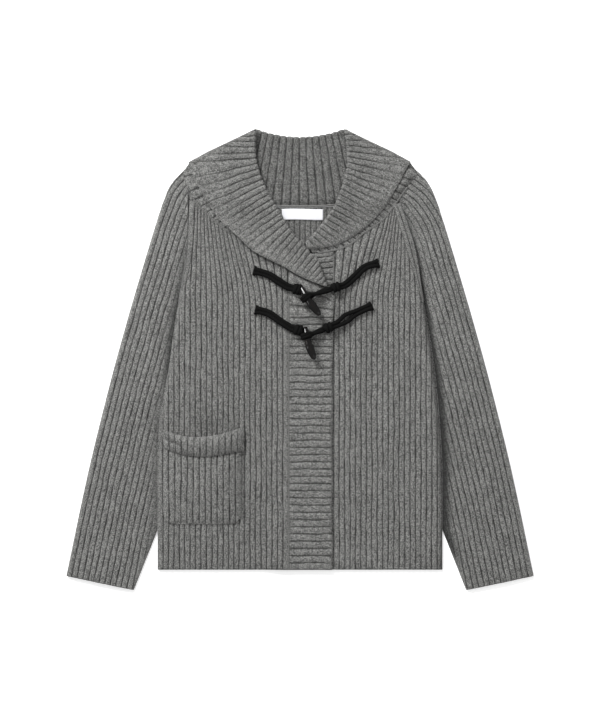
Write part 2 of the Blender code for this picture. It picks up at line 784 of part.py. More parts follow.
def collar_back(collection, material):
    """The collar behind the neck: the ribbed stand faces up, and the fall hangs folded under it."""
    low = shoulder_line(-1).at(0.0) + (1.0, -5.0)
    left_side = [low, *[np.array(p) for p in BACK_TOP]]
    top = Line([*left_side, (-low[0], low[1])], smooth=False)
    neck = Line(BACK_NECK)
    corner_share = (1 - Line(BACK_TOP, smooth=False).length / top.length) / 2
    neck_share, end_share = 0.297, 0.035

    def seam_share(place):
        return float(np.interp(place, (0, corner_share, 1 - corner_share, 1), (end_share, neck_share, 1 - neck_share, 1 - end_share)))

    def rib_at(place):
        across = (place - corner_share) * top.length / NECK_PITCH
        seen = corner_share <= place <= 1 - corner_share
        return RIB * rib_height(across) * seen

    def point(place, part, share, skin):
        on_top = top.at(place)
        seam = neck.at(seam_share(place))
        reach = np.linalg.norm(seam - on_top)
        heading = (seam - on_top) / max(reach, 1e-6)
        radius = min(FOLD_R, 0.4 * reach)
        centre = on_top + heading * radius
        if part == "fold":
            size = radius if skin == "A" else 0.2
            tall = FOLD_R if skin == "A" else FOLD_AIR / 2
            rib = 0.7 * rib_at(place) if skin == "A" and share > 0 else 0.0
            x, y = centre - heading * (size + rib * 0.4) * math.cos(math.radians(share))
            return (x, y, FOLD_R + (tall + rib) * math.sin(math.radians(share)))
        if part == "stand":
            x, y = centre + (seam - centre) * share
            from_seam = (1 - share) * np.linalg.norm(seam - centre)
            ramp = min(8.0, 0.45 * np.linalg.norm(seam - centre))
            z = (WALL + FOLD_AIR) * ease(0.2 * ramp, ramp, from_seam)
            return (x, y, z + (WALL + rib_at(place) if skin == "A" else 0.0))
        limit = max(0.03, 1 - BACK_FALL_INSET / np.linalg.norm(seam - centre))
        x, y = centre + (seam - centre) * share * limit
        return (x, y, 0.0 if skin == "A" else WALL)

    seen_ends = (corner_share * top.length, (1 - corner_share) * top.length)
    ribbed = rib_places(*seen_ends, NECK_PITCH)
    end = 2.5
    sides = even_places(end, seen_ends[0], 22.0)[:-1]
    fine = [p / top.length for p in [*sides, *ribbed, *[top.length - s for s in sides[::-1]]]]
    coarse = [p / top.length for p in [*sides, *ribbed[::6], *[top.length - s for s in sides[::-1]]]]

    def line(places, part, share, skin):
        return [(p, point(p, part, share, skin)) for p in places]

    outer = [line(fine, "stand", s, "A") for s in (1.0, 0.97, 0.9, 0.6, 0.3, 0.0)]
    outer += [line(fine, "fold", 55.0, "A"), line(fine, "fold", 0.0, "A"), line(coarse, "fold", -55.0, "A")]
    outer += [line(coarse, "fall", s, "A") for s in (0.0, 0.5, 1.0)]
    inner = [line(fine if s == 1.0 else coarse, "stand", s, "B") for s in (1.0, 0.97, 0.9, 0.5, 0.0)]
    inner += [line(coarse, "fold", 0.0, "B")]
    inner += [line(coarse, "fall", s, "B") for s in (0.0, 0.5, 1.0)]
    return closed_wall("collar_back", numbered(outer), numbered(inner), collection, material)


# ---------------------------------------------------------------- pocket and label
def pocket(collection, material):
    """A patch pocket with a rounded lower edge, open under its turned-down cuff."""
    pitch = (POCKET_RIGHT - POCKET_LEFT) / POCKET_RIBS
    top = Line(POCKET_TOP)
    low_z = FRONT_Z + WALL + RIB + GAP

    def bottom(x):
        from_side = min(x - POCKET_LEFT, POCKET_RIGHT - x)
        short = max(POCKET_CORNER - from_side, 0.0)
        return POCKET_BOTTOM + POCKET_CORNER - math.sqrt(POCKET_CORNER ** 2 - short ** 2)

    def line(places, share, skin):
        made = []
        for x in places:
            y = top.y_at(x) + (bottom(x) - top.y_at(x)) * share
            edge = ease(0.0, 5.0, min(x - POCKET_LEFT, POCKET_RIGHT - x)) * ease(1.0, 0.95, share)
            z = low_z
            if skin == "outer":
                z += WALL + RIB * rib_height((x - POCKET_LEFT) / pitch) * edge - 1.2 * (1 - edge)
            made.append((x, (x, y, z)))
        return made

    fine = rib_places(POCKET_LEFT, POCKET_RIGHT, pitch)
    coarse = even_places(POCKET_LEFT, POCKET_RIGHT, 12.0)
    shares = (0.0, 0.3, 0.7, 0.95, 1.0)
    return closed_wall("pocket", *wall_skins(shares, fine, coarse, line), collection, material)


def pocket_cuff(collection, material):
    """The pocket's turned-down cuff, a soft bulging band over its mouth."""
    top, bottom = Line(CUFF_TOP), Line(CUFF_BOTTOM)
    left, right = CUFF_TOP[0][0], CUFF_TOP[-1][0]
    pitch = (right - left) / POCKET_RIBS
    low_z = FRONT_Z + 2 * (WALL + RIB + GAP)

    def line(places, share, skin):
        made = []
        for x in places:
            y = top.y_at(x) + (bottom.y_at(x) - top.y_at(x)) * share
            swell = math.sin(math.pi * share) ** 0.6 * ease(0.0, 8.0, min(x - left, right - x))
            z = low_z
            if skin == "outer":
                z += WALL - 1.0 + (1.0 + POCKET_CUFF_LIFT) * swell + RIB * rib_height((x - left) / pitch) * swell
            made.append((x, (x, y, z)))
        return made

    fine = rib_places(left, right, pitch)
    coarse = even_places(left, right, 12.0)
    shares = (0.0, 0.12, 0.35, 0.65, 0.88, 1.0)
    return closed_wall("pocket_cuff", *wall_skins(shares, fine, coarse, line), collection, material)


def label(collection, material):
    """A blank woven label on the inside of the back, just under the neck seam."""
    left, right, bottom, top = LABEL
    low = BACK_Z + WALL + 0.8 * RIB + 0.3
    bpy.ops.mesh.primitive_cube_add(size=1.0)
    made = bpy.context.active_object
    made.name = made.data.name = "label"
    made.scale = ((right - left) * MM, (top - bottom) * MM, LABEL_THICK * MM)
    made.location = ((left + right) / 2 * MM, (bottom + top) / 2 * MM, (low + LABEL_THICK / 2) * MM)
    made.data.materials.append(material)
    for owner in made.users_collection:
        owner.objects.unlink(made)
    collection.objects.link(made)
    return made


# ---------------------------------------------------------------- toggles and cords
def crest_below(x):
    """Top of what a cord lies on at x: the right front, the upper band or the left front."""
    if x < BAND_RIGHT_EDGE[0][1] + 3.0:
        return front_height(x) + WALL + RIB
    fall = ease(BAND_RIGHT_EDGE[0][1] + 3.0, BAND_RIGHT_EDGE[0][1] + 26.0, x)
    return BAND_Z + WALL + RIB + (FRONT_Z - BAND_Z) * fall


def doubled_cord(name, route, collection, material):
    """Two strands side by side, joined where they touch: flat at the sewn end, thick at the knot."""
    line = Line(route)
    strand = STRAND / 2
    stations = [*np.linspace(0.0, 0.68, 9), 0.76, 0.84, 0.92, 1.0]
    mesh = bmesh.new()
    rings = []
    for share in stations:
        step = 0.02
        ahead = line.at(min(share + step, 1.0)) - line.at(max(share - step, 0.0))
        ahead /= np.linalg.norm(ahead)
        sideways = np.array([-ahead[1], ahead[0]])
        x, y = line.at(share)
        flat = 1 - ease(0.0, 0.12, share)
        knot = ease(0.68, 0.8, share) * (1 - ease(0.9, 1.0, share))
        wide = strand * (1 + 0.1 * flat + 0.05 * knot)
        tall = strand * (1 - 0.45 * flat + 0.35 * knot)
        waist = 0.55 + 0.4 * max(flat, knot)
        half = ((0.0, waist), (wide, 1.0), (1.75 * wide, 0.72), (2 * wide, 0.0))
        profile = [*half, *[(a, -b) for a, b in half[2::-1]]]
        profile += [(-a, -b) for a, b in profile[1:-1]]
        z = crest_below(x) + 0.3 + tall
        rings.append([mesh.verts.new([c * MM for c in (x + sideways[0] * a, y + sideways[1] * a, z + tall * b)])
                      for a, b in profile])
    for first, second in zip(rings, rings[1:]):
        for a, b, c, d in zip(first, first[1:] + first[:1], second[1:] + second[:1], second):
            mesh.faces.new((a, b, c, d))
    mesh.faces.new(rings[0])
    mesh.faces.new(rings[-1][::-1])
    return finish(name, mesh, collection, material)


def bevelled_curve(name, points, radii, cyclic, sides, collection, material):
    data = bpy.data.curves.new(name, "CURVE")
    data.dimensions = "3D"
    data.bevel_depth = MM
    data.bevel_resolution = sides
    data.use_fill_caps = not cyclic
    spline = data.splines.new("POLY")
    spline.points.add(len(points) - 1)
    for target, point, radius in zip(spline.points, points, radii):
        target.co = (*[c * MM for c in point], 1.0)
        target.radius = radius
    spline.use_cyclic_u = cyclic
    data.materials.append(material)
    made = bpy.data.objects.new(name, data)
    collection.objects.link(made)
    return made


def toggle_loop(name, centre_x, centre_y, half_width, half_height, collection, material):
    """The loop of the left cord that the toggle is slipped through, flat on the upper band."""
    z = BAND_Z + WALL + RIB + 0.3 + STRAND / 2
    turns = np.linspace(0, 2 * math.pi, 20, endpoint=False)
    points = [(centre_x + half_width * math.cos(t), centre_y + half_height * math.sin(t), z) for t in turns]
    return bevelled_curve(name, points, [STRAND / 2] * len(points), True, 1, collection, material)


def toggle(name, upper, lower, collection, material):
    """A horn-shaped toggle: a tapering, slightly bowed bar that lies over the loop."""
    shape = (
        # share  radius
        (0.000,  0.45),
        (0.030,  0.66),
        (0.090,  0.84),
        (0.250,  0.95),
        (0.480,  1.00),
        (0.720,  0.88),
        (0.920,  0.62),
        (0.980,  0.45),
        (1.000,  0.20),
    )
    start, end = np.array(upper), np.array(lower)
    sideways = np.array([start[1] - end[1], end[0] - start[0]]) / np.linalg.norm(end - start)
    z = BAND_Z + WALL + RIB + 0.3 + STRAND + 0.3 + TOGGLE_R
    points = []
    for share, _ in shape:
        x, y = start + (end - start) * share + sideways * 2.0 * math.sin(math.pi * share)
        points.append((x, y, z - 1.5 * share))
    radii = [TOGGLE_R * radius for _, radius in shape]
    return bevelled_curve(name, points, radii, False, 3, collection, material)


# ---------------------------------------------------------------- the whole
def principled(name, colour, roughness):
    made = bpy.data.materials.new(name)
    made.use_nodes = True
    shader = made.node_tree.nodes["Principled BSDF"]
    shader.inputs["Base Color"].default_value = (*colour, 1.0)
    shader.inputs["Roughness"].default_value = roughness
    shader.inputs["Metallic"].default_value = 0.0
    made.diffuse_color = (*colour, 1.0)
    return made


def main():
    for old in list(bpy.data.objects):
        bpy.data.objects.remove(old, do_unlink=True)
    collection = bpy.data.collections.new("shawl collar cardigan")
    bpy.context.scene.collection.children.link(collection)

    def knit(name):
        return principled(f"{name} knit", GREY, 0.92)

    back(collection, knit("back"))
    front("front_right", -1, BAND_RIGHT_INNER, NECKLINE_RIGHT, collection, knit("front_right"))
    front("front_left", 1, BAND_LEFT_SEAM, NECKLINE_LEFT, collection, knit("front_left"))
    band_right(collection, knit("band_right"))
    band_left(collection, knit("band_left"))
    sleeve("sleeve_right", -1, collection, knit("sleeve_right"))
    sleeve("sleeve_left", 1, collection, knit("sleeve_left"))
    right_tables = (FOLD_RIGHT, EDGE_RIGHT, NECKLINE_RIGHT, COLLAR_RIBS_RIGHT)
    left_tables = (FOLD_LEFT, EDGE_LEFT, NECKLINE_LEFT, COLLAR_RIBS_LEFT)
    collar_front("collar_right", -1, right_tables, collection, knit("collar_right"))
    collar_front("collar_left", 1, left_tables, collection, knit("collar_left"))
    collar_back(collection, knit("collar_back"))
    pocket(collection, knit("pocket"))
    pocket_cuff(collection, knit("pocket_cuff"))
    label(collection, principled("label tape", WHITE, 0.7))
    for name, route in CORDS.items():
        doubled_cord(name, route, collection, principled(f"{name} black cord", BLACK, 0.85))
    for name, sizes in LOOPS.items():
        toggle_loop(name, *sizes, collection, principled(f"{name} black cord", BLACK, 0.85))
    for name, (upper, lower) in TOGGLES.items():
        toggle(name, upper, lower, collection, principled(f"{name} black horn", BLACK, 0.25))


main()
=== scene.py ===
"""Shawl collar cardigan in a wide rib knit, laid flat: the cloth, cords, toggles, floor, light and camera.

Sizes are in millimetres, as a maker measures the laid-out garment, and are scaled to metres when the
meshes are made. X runs across the body (the wearer's right side has negative x), Y from the hem to the
neck, and Z is the height above the surface. Each cloth piece is worked out as a smooth wall whose
points know their place across the ribs; a node tree then raises the ribs out of it. `side` is -1 on
the wearer's right and 1 on the left.
"""
import functools
import math

import bmesh
import bpy
import numpy as np
from bpy.props import FloatProperty, FloatVectorProperty, PointerProperty
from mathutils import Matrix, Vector


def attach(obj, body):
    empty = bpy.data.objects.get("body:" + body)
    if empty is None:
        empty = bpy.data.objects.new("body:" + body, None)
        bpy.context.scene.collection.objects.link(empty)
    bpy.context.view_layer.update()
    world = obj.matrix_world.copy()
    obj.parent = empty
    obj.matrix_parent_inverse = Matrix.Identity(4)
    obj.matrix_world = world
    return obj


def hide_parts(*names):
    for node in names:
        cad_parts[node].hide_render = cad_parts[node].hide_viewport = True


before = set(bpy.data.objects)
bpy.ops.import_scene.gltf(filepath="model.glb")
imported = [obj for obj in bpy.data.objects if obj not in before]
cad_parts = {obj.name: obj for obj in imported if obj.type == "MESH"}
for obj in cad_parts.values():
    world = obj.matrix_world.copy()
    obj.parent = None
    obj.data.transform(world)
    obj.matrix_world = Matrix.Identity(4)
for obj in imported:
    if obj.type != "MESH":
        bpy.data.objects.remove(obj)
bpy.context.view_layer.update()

BODY = "root"

bl_info = {
    "name": "Shawl Collar Cardigan",
    "version": (1, 0, 0),
    "blender": (4, 5, 0),
    "location": "View3D > Sidebar > Cardigan",
    "description": "Dresses a laid-out rib knit cardigan: cloth, stitches, cords, toggles and studio",
    "category": "Add Mesh",
}

MM = 0.001

# Cloth, the same values as the solids are made from
WALL = 2.4
RIB = 1.1
GAP = 0.4
SEAM = 1.0
BODY_PITCH = 8.7
BAND_PITCH = 11.5
COLLAR_PITCH = 8.8
NECK_PITCH = 10.2
FRONT_Z = WALL + GAP
BAND_Z = FRONT_Z + WALL + RIB + 0.5
COLLAR_LOW_Z = 3.9
COLLAR_HIGH_Z = 2 * (WALL + 0.5) + RIB + 0.9
COLLAR_TIP_Z = 7.8
FOLD_AIR = 1.0
FOLD_R = WALL + FOLD_AIR / 2
HEM_Y = -335.0
BUST_Y = 86.0
UNDERARM_Y = 165.0
# Cloth, in the scene alone
ROW_HEIGHT = 2.9         # one knitted row
ROLL = 3.2               # how far in from its edge the cloth rounds
SINK = 0.3               # how much lower the cloth lies between two ribs than the solid's wall
BODY_THICK = WALL - 0.4
CREST_STEPS = (0.0, 0.06, 0.14, 0.28, 0.5, 0.72, 0.86, 0.94)     # columns of points across one rib

# Edge of the body: y, its distance from the centre line on the right and on the left
SIDE = (
    (HEM_Y, 228, 228), (-272, 229, 228.5), (-176, 228, 227.5), (-91, 223.5, 222.5), (-21, 210.5, 215.5),
    (56, 200, 204.5), (128, 187, 191.5), (157, 182.5, 186), (190, 179.5, 181), (233.5, 179, 175.5),
    (300, 179, 175.5),
)
# The left front narrows to the neck above the underarm: y, x
ARMHOLE_LEFT = (
    *((y, left) for y, _, left in SIDE[:6]), (128, 191), (157, 186), (190, 180), (213, 173.5), (235, 166),
    (258, 157.5), (300, 142),
)
# Outer fold of a sleeve: x, y
SLEEVE_FOLD = (
    (179.5, 310.5), (197.3, 293), (206, 281.5), (212.8, 269), (222.4, 243), (230.4, 217.5), (238.2, 192),
    (253.5, 141), (276, 64), (304, -38.5), (338.5, -179), (373.5, -344.9),
)
CUFF_WIDTH = 108.0
SLEEVE_RELEASE_Y = -272.0      # below this the sleeve leaves the body's side
SLEEVE_RELEASE_LEAN = 0.396
SLEEVE_PUFF = 2.2
# For each side: how far the ribs have turned over the outer fold at the shoulder, how much the cloth
# dips beside the body, then the shadow in that dip: width, upper end, darkness, how much wider it gets
# and what share of it fades lower down
SLEEVE_SIDES = {-1: (4.0, 0.25, 8.2, 195.0, 0.74, 0.0, 0.6), 1: (24.0, 0.75, 7.4, 230.0, 0.90, 5.0, 0.0)}
# Lean of the fronts' ribs above the bust: share of the width from the band to the side, lean
RIB_LEAN = ((0, 0.05), (0.15, 0.22), (0.33, 0.28), (0.52, 0.18), (0.7, 0.06), (0.89, -0.06), (1, -0.12))
LEAN_START = 30.0
FRONT_LENGTH = 535.0
BAND_RIGHT_INNER = -18.5
BAND_RIGHT_EDGE = ((96, 56), (60, 53), (0, 51.5), (HEM_Y, 51))   # y, x
BAND_RIGHT_TOP = 104.0
BAND_LEFT_EDGE = -4.0
BAND_LEFT_SEAM = 54.0
BAND_LEFT_TOP = 168.0
BAND_LEFT_RIBS_Y = 92.0        # the ribs of the lower band start here
BAND_RISE = (-62.0, -24.0)

# Seams, folds and edges of the collar and the neck: x, y
NECKLINE_RIGHT = (
    (54, 106), (43, 117), (30.5, 122.5), (22, 126.5), (5, 134), (-11, 142), (-26.5, 151.5), (-54.5, 165),
    (-83, 183), (-102.5, 199), (-120.5, 210), (-152, 237.5), (-165, 251), (-175.5, 267.5), (-187, 293),
)
NECKLINE_LEFT = (
    (17, 171), (40, 173.5), (65.5, 179), (86, 189.5), (101, 203), (119, 214.5), (136.5, 229),
    (154.5, 253), (173, 279), (187, 293),
)
HALF_BACK_NECK = ((40, 245.5), (80, 249.5), (120, 261), (160, 278.5), (187, 293))
BACK_NECK = (*((-x, y) for x, y in reversed(HALF_BACK_NECK)), (0, 245), *HALF_BACK_NECK)
FOLD_RIGHT = (
    (43, 116.5), (38.5, 129.5), (32, 147), (26, 161.5), (16, 169), (5, 182), (-10.5, 200), (-25.5, 223),
    (-42.5, 251), (-56.5, 277), (-65.5, 300), (-71, 323), (-72, 345.5), (-70.5, 368),
)
EDGE_RIGHT = (
    (40.5, 116.5), (25.5, 122.5), (8, 129.5), (-9.5, 138.5), (-26.5, 149), (-44, 157.5), (-65, 168),
    (-78.5, 176.5), (-93, 190.5), (-113.5, 209.5), (-125.5, 220), (-148, 252), (-159, 272),
    (-170.5, 295), (-177.5, 315),
)
FOLD_LEFT = (
    (8, 185), (19, 197), (35, 215.5), (54.5, 243.5), (65.5, 269), (74, 299), (76, 317), (74.5, 344),
    (70.5, 368),
)
EDGE_LEFT = (
    (9, 178.5), (19, 177), (40, 179.5), (56, 183), (76, 192), (97.5, 206.5), (115, 221), (136.5, 245.5),
    (151, 270.5), (160.5, 287), (169, 304.5), (177.5, 315),
)
# Where each rib of the collar starts on the fold and ends on the outer edge; 1 to 2 is the shoulder
COLLAR_RIBS_RIGHT = (
    (0, 0), (0.12, 0.098), (0.176, 0.144), (0.281, 0.236), (0.364, 0.324), (0.46, 0.463), (0.637, 0.663),
    (0.787, 0.882), (0.815, 0.95), (0.847, 1.05), (0.878, 1.33), (0.913, 1.53), (0.953, 1.73), (1, 1.97),
)
COLLAR_RIBS_LEFT = (
    (0, 0), (0.079, 0.133), (0.2, 0.286), (0.368, 0.476), (0.503, 0.595), (0.658, 0.782), (0.738, 0.898),
    (0.793, 0.986), (0.84, 1.19), (0.895, 1.55), (0.947, 1.79), (1, 1.97),
)
# The shoulder of each half, from the sleeve to the fold; x is the distance from the centre line
SHOULDER_TIP = (185.0, 302.0)
SHOULDER_LOW = (177.5, 315.0)
SHOULDER_CROWN = (146.5, 332.0)
SHOULDER_TOP = (70.5, 368.0)
BACK_TOP = ((-70.5, 368), (-48, 361), (-24, 356.5), (0, 355), (24, 356.5), (48, 361), (70.5, 368))
BACK_FALL_INSET = 20.0

POCKET_LEFT = -218.5
POCKET_RIGHT = -93.0
POCKET_BOTTOM = -262.0
POCKET_CORNER = 20.0
POCKET_TOP = ((-218.5, -138), (-192, -146), (-160, -150), (-120, -146), (-93, -138))
POCKET_RIBS = 13
POCKET_Z = FRONT_Z + WALL + RIB + GAP - 0.2
CUFF_TOP = ((-218.5, -110), (-192, -119.5), (-166, -123), (-128, -118.5), (-89, -106.5))
CUFF_BOTTOM = ((-218.5, -140), (-192, -149.5), (-157, -154), (-128, -151.5), (-89, -144))
CUFF_Z = FRONT_Z + 2 * (WALL + RIB + GAP) - 0.4
POCKET_CUFF_LIFT = 3.4

LABEL = (-29.0, 37.3, 223.6, 241.2)      # left, right, bottom, top
LABEL_THICK = 0.8

STRAND = 5.4
STRAND_WIDE = 3.45       # half the width of a strand, which spreads where it lies on the cloth
LOOP_RADIUS = 3.1        # of a strand that is wound round something
TOGGLE_R = 7.2
TOGGLES = {
    # name: upper end, lower end
    "toggle_upper": ((-1.0, 120.0), (32.0, 71.0)),
    "toggle_lower": ((8.0, 53.0), (23.0, 0.5)),
}
CORDS = {
    # name: route from the sewn end to the toggle, x and y
    "cord_right_upper": ((-73.5, 142.5), (-51, 136), (-30.5, 123), (-19, 116.5), (-9, 112)),
    "cord_left_upper": ((125, 154.5), (104, 148), (86.5, 132), (72, 120), (56, 111), (37.5, 104.5)),
    "cord_right_lower": ((-71, 80), (-50.5, 74.5), (-31, 61.5), (-13, 50.5), (0, 44.5)),
    "cord_left_lower": ((114.5, 86.5), (96, 78.5), (80, 70.5), (62.5, 59), (48, 50.5), (33.5, 35.5)),
}
KNOTS = {
    # name: centre x and y, half width, half length
    "cord_right_upper": (-4.0, 112.5, 6.0, 7.0),
    "cord_left_upper": (57.0, 115.5, 5.2, 7.4),
    "cord_right_lower": (-2.0, 47.5, 6.0, 7.6),
    "cord_left_lower": (45.0, 51.5, 5.4, 8.2),
}
# Where along a cord its two strands lie apart, over what share of it, by how much
PARTED = {"cord_left_lower": (0.58, 0.15, 3.0)}
LOOP_TIES = {
    # name: toggle, share of the toggle's length, knot that the loop's legs run to
    "loop_upper": ("toggle_upper", 0.40, "cord_left_upper"),
    "loop_lower": ("toggle_lower", 0.27, "cord_left_lower"),
}
# Share of the toggle's length, share of its full radius
TOGGLE_SHAPE = (
    (0, 0.24), (0.012, 0.38), (0.04, 0.49), (0.12, 0.57), (0.26, 0.66), (0.4, 0.73), (0.5, 0.74),
    (0.57, 0.86), (0.64, 0.9), (0.74, 0.87), (0.86, 0.74), (0.94, 0.55), (0.98, 0.34), (1, 0.1),
)
ARMHOLE_RIBS = {
    # name: number of ribs, height over the front, route of the strip's middle with its width
    "armhole_rib_right": (1, 0.2, (
        (-172.5, 253, 8), (-173, 236, 10), (-174, 205, 10), (-176.5, 170, 8.5), (-181, 138, 6),
        (-185.5, 112, 2.5))),
    "armhole_rib_left": (2, 1.9, (
        (154.5, 249, 12), (161, 230, 14), (169.5, 203, 15.5), (177.5, 176, 14), (184.5, 148, 10.5),
        (191, 118, 6), (196.5, 92, 2))),
}

# Soft folds of the laid-out fronts, each a ridge along a slanting line: x, y, lean, width, length, height
SOFT_FOLDS = (
    (-172, -20, -0.08, 15, 130, 2.9), (-126, 30, -0.05, 17, 150, 2.6), (-70, -60, 0.03, 22, 170, 1.2),
    (-98, -190, 0.02, 16, 120, 0.9), (96, 20, 0.05, 18, 150, 1.8), (140, -120, 0.04, 20, 170, 2.1),
    (178, 60, 0.12, 15, 120, 1.6), (85, -230, 0.0, 18, 110, 1.0), (190, -230, 0.02, 16, 110, 1.0),
)
# Waves of the ribs' drift: length across, length along, turn, share
WANDER = ((95, 210, 0.3, 0.42), (61, 133, 1.9, 0.30), (38, 71, 4.1, 0.18), (21, 39, 2.6, 0.10))


# ---------------------------------------------------------------- curves and small functions
def smooth(a, b, c, d, t):
    """The smooth curve from b to c at the share t, where a lies before b and d after c."""
    return 0.5 * (2 * b + (c - a) * t + (2 * a - 5 * b + 4 * c - d) * t ** 2
                  + (3 * b - a - 3 * c + d) * t ** 3)


class Line:
    """A curve in the plane through a few points, smooth unless told otherwise, measured along its length."""

    def __init__(self, points, straight=False):
        points = [np.array(p[:2], float) for p in points]
        if not straight:
            ends = [2 * points[0] - points[1], *points, 2 * points[-1] - points[-2]]
            points = [points[0]]
            for a, b, c, d in zip(ends, ends[1:], ends[2:], ends[3:]):
                points += [smooth(a, b, c, d, t) for t in np.linspace(0, 1, 13)[1:]]
        self.points = np.array(points)
        steps = np.linalg.norm(np.diff(self.points, axis=0), axis=1)
        self.along = np.concatenate([[0.0], np.cumsum(steps)])
        self.length = self.along[-1]
        self.rising = self.points[np.argsort(self.points[:, 0], kind="stable")]

    def at(self, share):
        place = np.asarray(share, float) * self.length
        return np.stack([np.interp(place, self.along, self.points[:, k]) for k in (0, 1)], axis=-1)

    def y_at(self, x):
        return np.interp(x, self.rising[:, 0], self.rising[:, 1])


@functools.cache
def table_line(table, across):
    return Line([(row[0], row[across]) for row in sorted(table)])


def column(table, value, across=1):
    """Read a table of (key, value, ...) rows at the key `value`, eased between its rows."""
    return table_line(table, across).y_at(value)


def ease(low, high, value):
    t = np.clip((np.asarray(value, float) - low) / (high - low), 0.0, 1.0)
    return t * t * (3 - 2 * t)


def hump(value, centre, width):
    return np.exp(-((value - centre) / width) ** 2)


def crest(rib):
    """1 along the middle of a rib and 0 in the groove beside it."""
    return 1 - np.abs(np.mod(rib, 1.0) * 2 - 1) ** 5


def unit(vectors):
    return vectors / np.linalg.norm(vectors, axis=-1, keepdims=True)


def headings(points):
    """The direction of travel at each point of a path."""
    return unit(np.gradient(points, axis=0))


def layers(x, y, *heights):
    """The same places at several heights, each as an array that ends in xyz."""
    return [np.stack(np.broadcast_arrays(x, y, z), axis=-1) for z in heights]


def between(tops, bottoms, shares):
    """Columns of places from the tops down to the bottoms."""
    return tops[:, None] + (bottoms - tops)[:, None] * shares


def closing(holds, kept, lost, rounds):
    """Halve the way from `kept`, where `holds` is true, to `lost`, where it isn't; gives both ends."""
    for _ in range(rounds):
        middle = (kept + lost) / 2
        ok = holds(middle)
        kept, lost = np.where(ok, middle, kept), np.where(ok, lost, middle)
    return kept, lost


def side_edge(side, y):
    return column(SIDE, y, 1 if side < 0 else 2)


def hem_end(side):
    """Distance of the hem's end from the centre line."""
    return side_edge(side, HEM_Y) - 0.5


def seam_edge(side, y):
    """Distance of the front's side and armhole seam from the centre line."""
    return side_edge(side, y) if side < 0 else column(ARMHOLE_LEFT, y)


def hem_roll(y):
    """Rises from 0 at the hem to 1 where the cloth has its full thickness."""
    return ease(0.0, ROLL, y - HEM_Y)


def front_height(x):
    """Underside of the right front, which climbs onto the lower band."""
    return FRONT_Z + (BAND_Z - FRONT_Z) * ease(*BAND_RISE, x)


def lay(x, y):
    """How far the upper layers stand proud of a flat stack at x, y."""
    height = sum(tall * hump(x - fold_x - lean * (y - fold_y), 0.0, width) * hump(y, fold_y, length)
                 for fold_x, fold_y, lean, width, length, tall in SOFT_FOLDS)
    edge = np.minimum(side_edge(-1, y) + x, side_edge(1, y) - x)
    return height * ease(0.0, 22.0, edge) * ease(0.0, 12.0, y - HEM_Y) * ease(250.0, 170.0, y)


def wander(x, y, seed=0.0):
    """A gentle drift of the ribs, from -1 to 1."""
    return sum(share * np.sin(2 * math.pi * x / across + turn + seed)
               * np.sin(2 * math.pi * y / along + 2 * turn + seed)
               for across, along, turn, share in WANDER)


def stray(rib, along, seed=0.0):
    """How far each groove strays sideways on its own, from -1 to 1; rib counts the ribs from the first."""
    low = np.floor(rib)

    def groove(number):
        turn = 6.28 * np.mod(np.sin(number * 12.99 + seed) * 437.6, 1.0)
        return 0.6 * np.sin(along / 10.0 + turn) + 0.4 * np.sin(along / 4.6 + 2.7 * turn)

    return groove(low) * (1 - rib + low) + groove(low + 1) * (rib - low)


def sway(settings, x, y, rib, along, drift_seed=0.0, stray_seed=0.0):
    """How far the ribs stand aside: their shared drift and each groove's own way."""
    return settings.wander * wander(x, y, drift_seed) + settings.stray * stray(rib, along, stray_seed)


# ---------------------------------------------------------------- nodes
class Socket:
    """Wraps an output socket, so that shader maths reads as an expression."""

    def __init__(self, tree, output):
        self.tree = tree
        self.output = output

    def maths(self, operation, *others, first=None):
        """A Math node on this value and the others, or on `first` and this value."""
        node = self.tree.nodes.new("ShaderNodeMath")
        node.operation = operation
        values = (self, *others) if first is None else (first, self)
        for slot, value in zip(node.inputs, values):
            connect(self.tree, value, slot)
        return Socket(self.tree, node.outputs[0])

    def __add__(self, other):
        return self.maths("ADD", other)

    __radd__ = __add__

    def __sub__(self, other):
        return self.maths("SUBTRACT", other)

    def __rsub__(self, other):
        return self.maths("SUBTRACT", first=other)

    def __mul__(self, other):
        return self.maths("MULTIPLY", other)

    __rmul__ = __mul__

    def __truediv__(self, other):
        return self.maths("DIVIDE", other)

    def __pow__(self, other):
        return self.maths("POWER", other)

    def __abs__(self):
        return self.maths("ABSOLUTE")

    def swing(self):
        """0 in the middle of every unit and 1 at its ends."""
        return abs(self.maths("FRACT") * 2.0 - 1.0)


def connect(tree, value, target):
    if isinstance(value, Socket):
        tree.links.new(value.output, target)
    else:
        target.default_value = value


class Nodes:
    """Adds nodes to one tree: a type, its settings, then the values or links of its sockets."""

    def __init__(self, tree):
        self.tree = tree

    def add(self, kind, output=0, settings=None, **inputs):
        node = self.tree.nodes.new(kind)
        for name, value in (settings or {}).items():
            setattr(node, name, value)
        for name, value in inputs.items():
            connect(self.tree, value, node.inputs[name.replace("_", " ")])
        return Socket(self.tree, node.outputs[output]) if node.outputs else None

    def clamp_range(self, value, low, high, to_low=0.0, to_high=1.0):
        return self.add("ShaderNodeMapRange", settings={"interpolation_type": "SMOOTHSTEP"},
                        Value=value, From_Min=low, From_Max=high, To_Min=to_low, To_Max=to_high)

    def mix(self, factor, first, second, blend="MIX"):
        node = self.tree.nodes.new("ShaderNodeMix")
        node.data_type = "RGBA"
        node.blend_type = blend
        for slot, value in ((0, factor), (6, first), (7, second)):
            connect(self.tree, value, node.inputs[slot])
        return Socket(self.tree, node.outputs[2])

    def noise(self, place, scale, detail=2.0, roughness=0.5):
        return self.add("ShaderNodeTexNoise", Vector=place, Scale=scale, Detail=detail, Roughness=roughness)

    def parts(self, vector):
        """The x and y of a vector."""
        node = self.add("ShaderNodeSeparateXYZ", Vector=vector).output.node
        return [Socket(self.tree, node.outputs[k]) for k in (0, 1)]


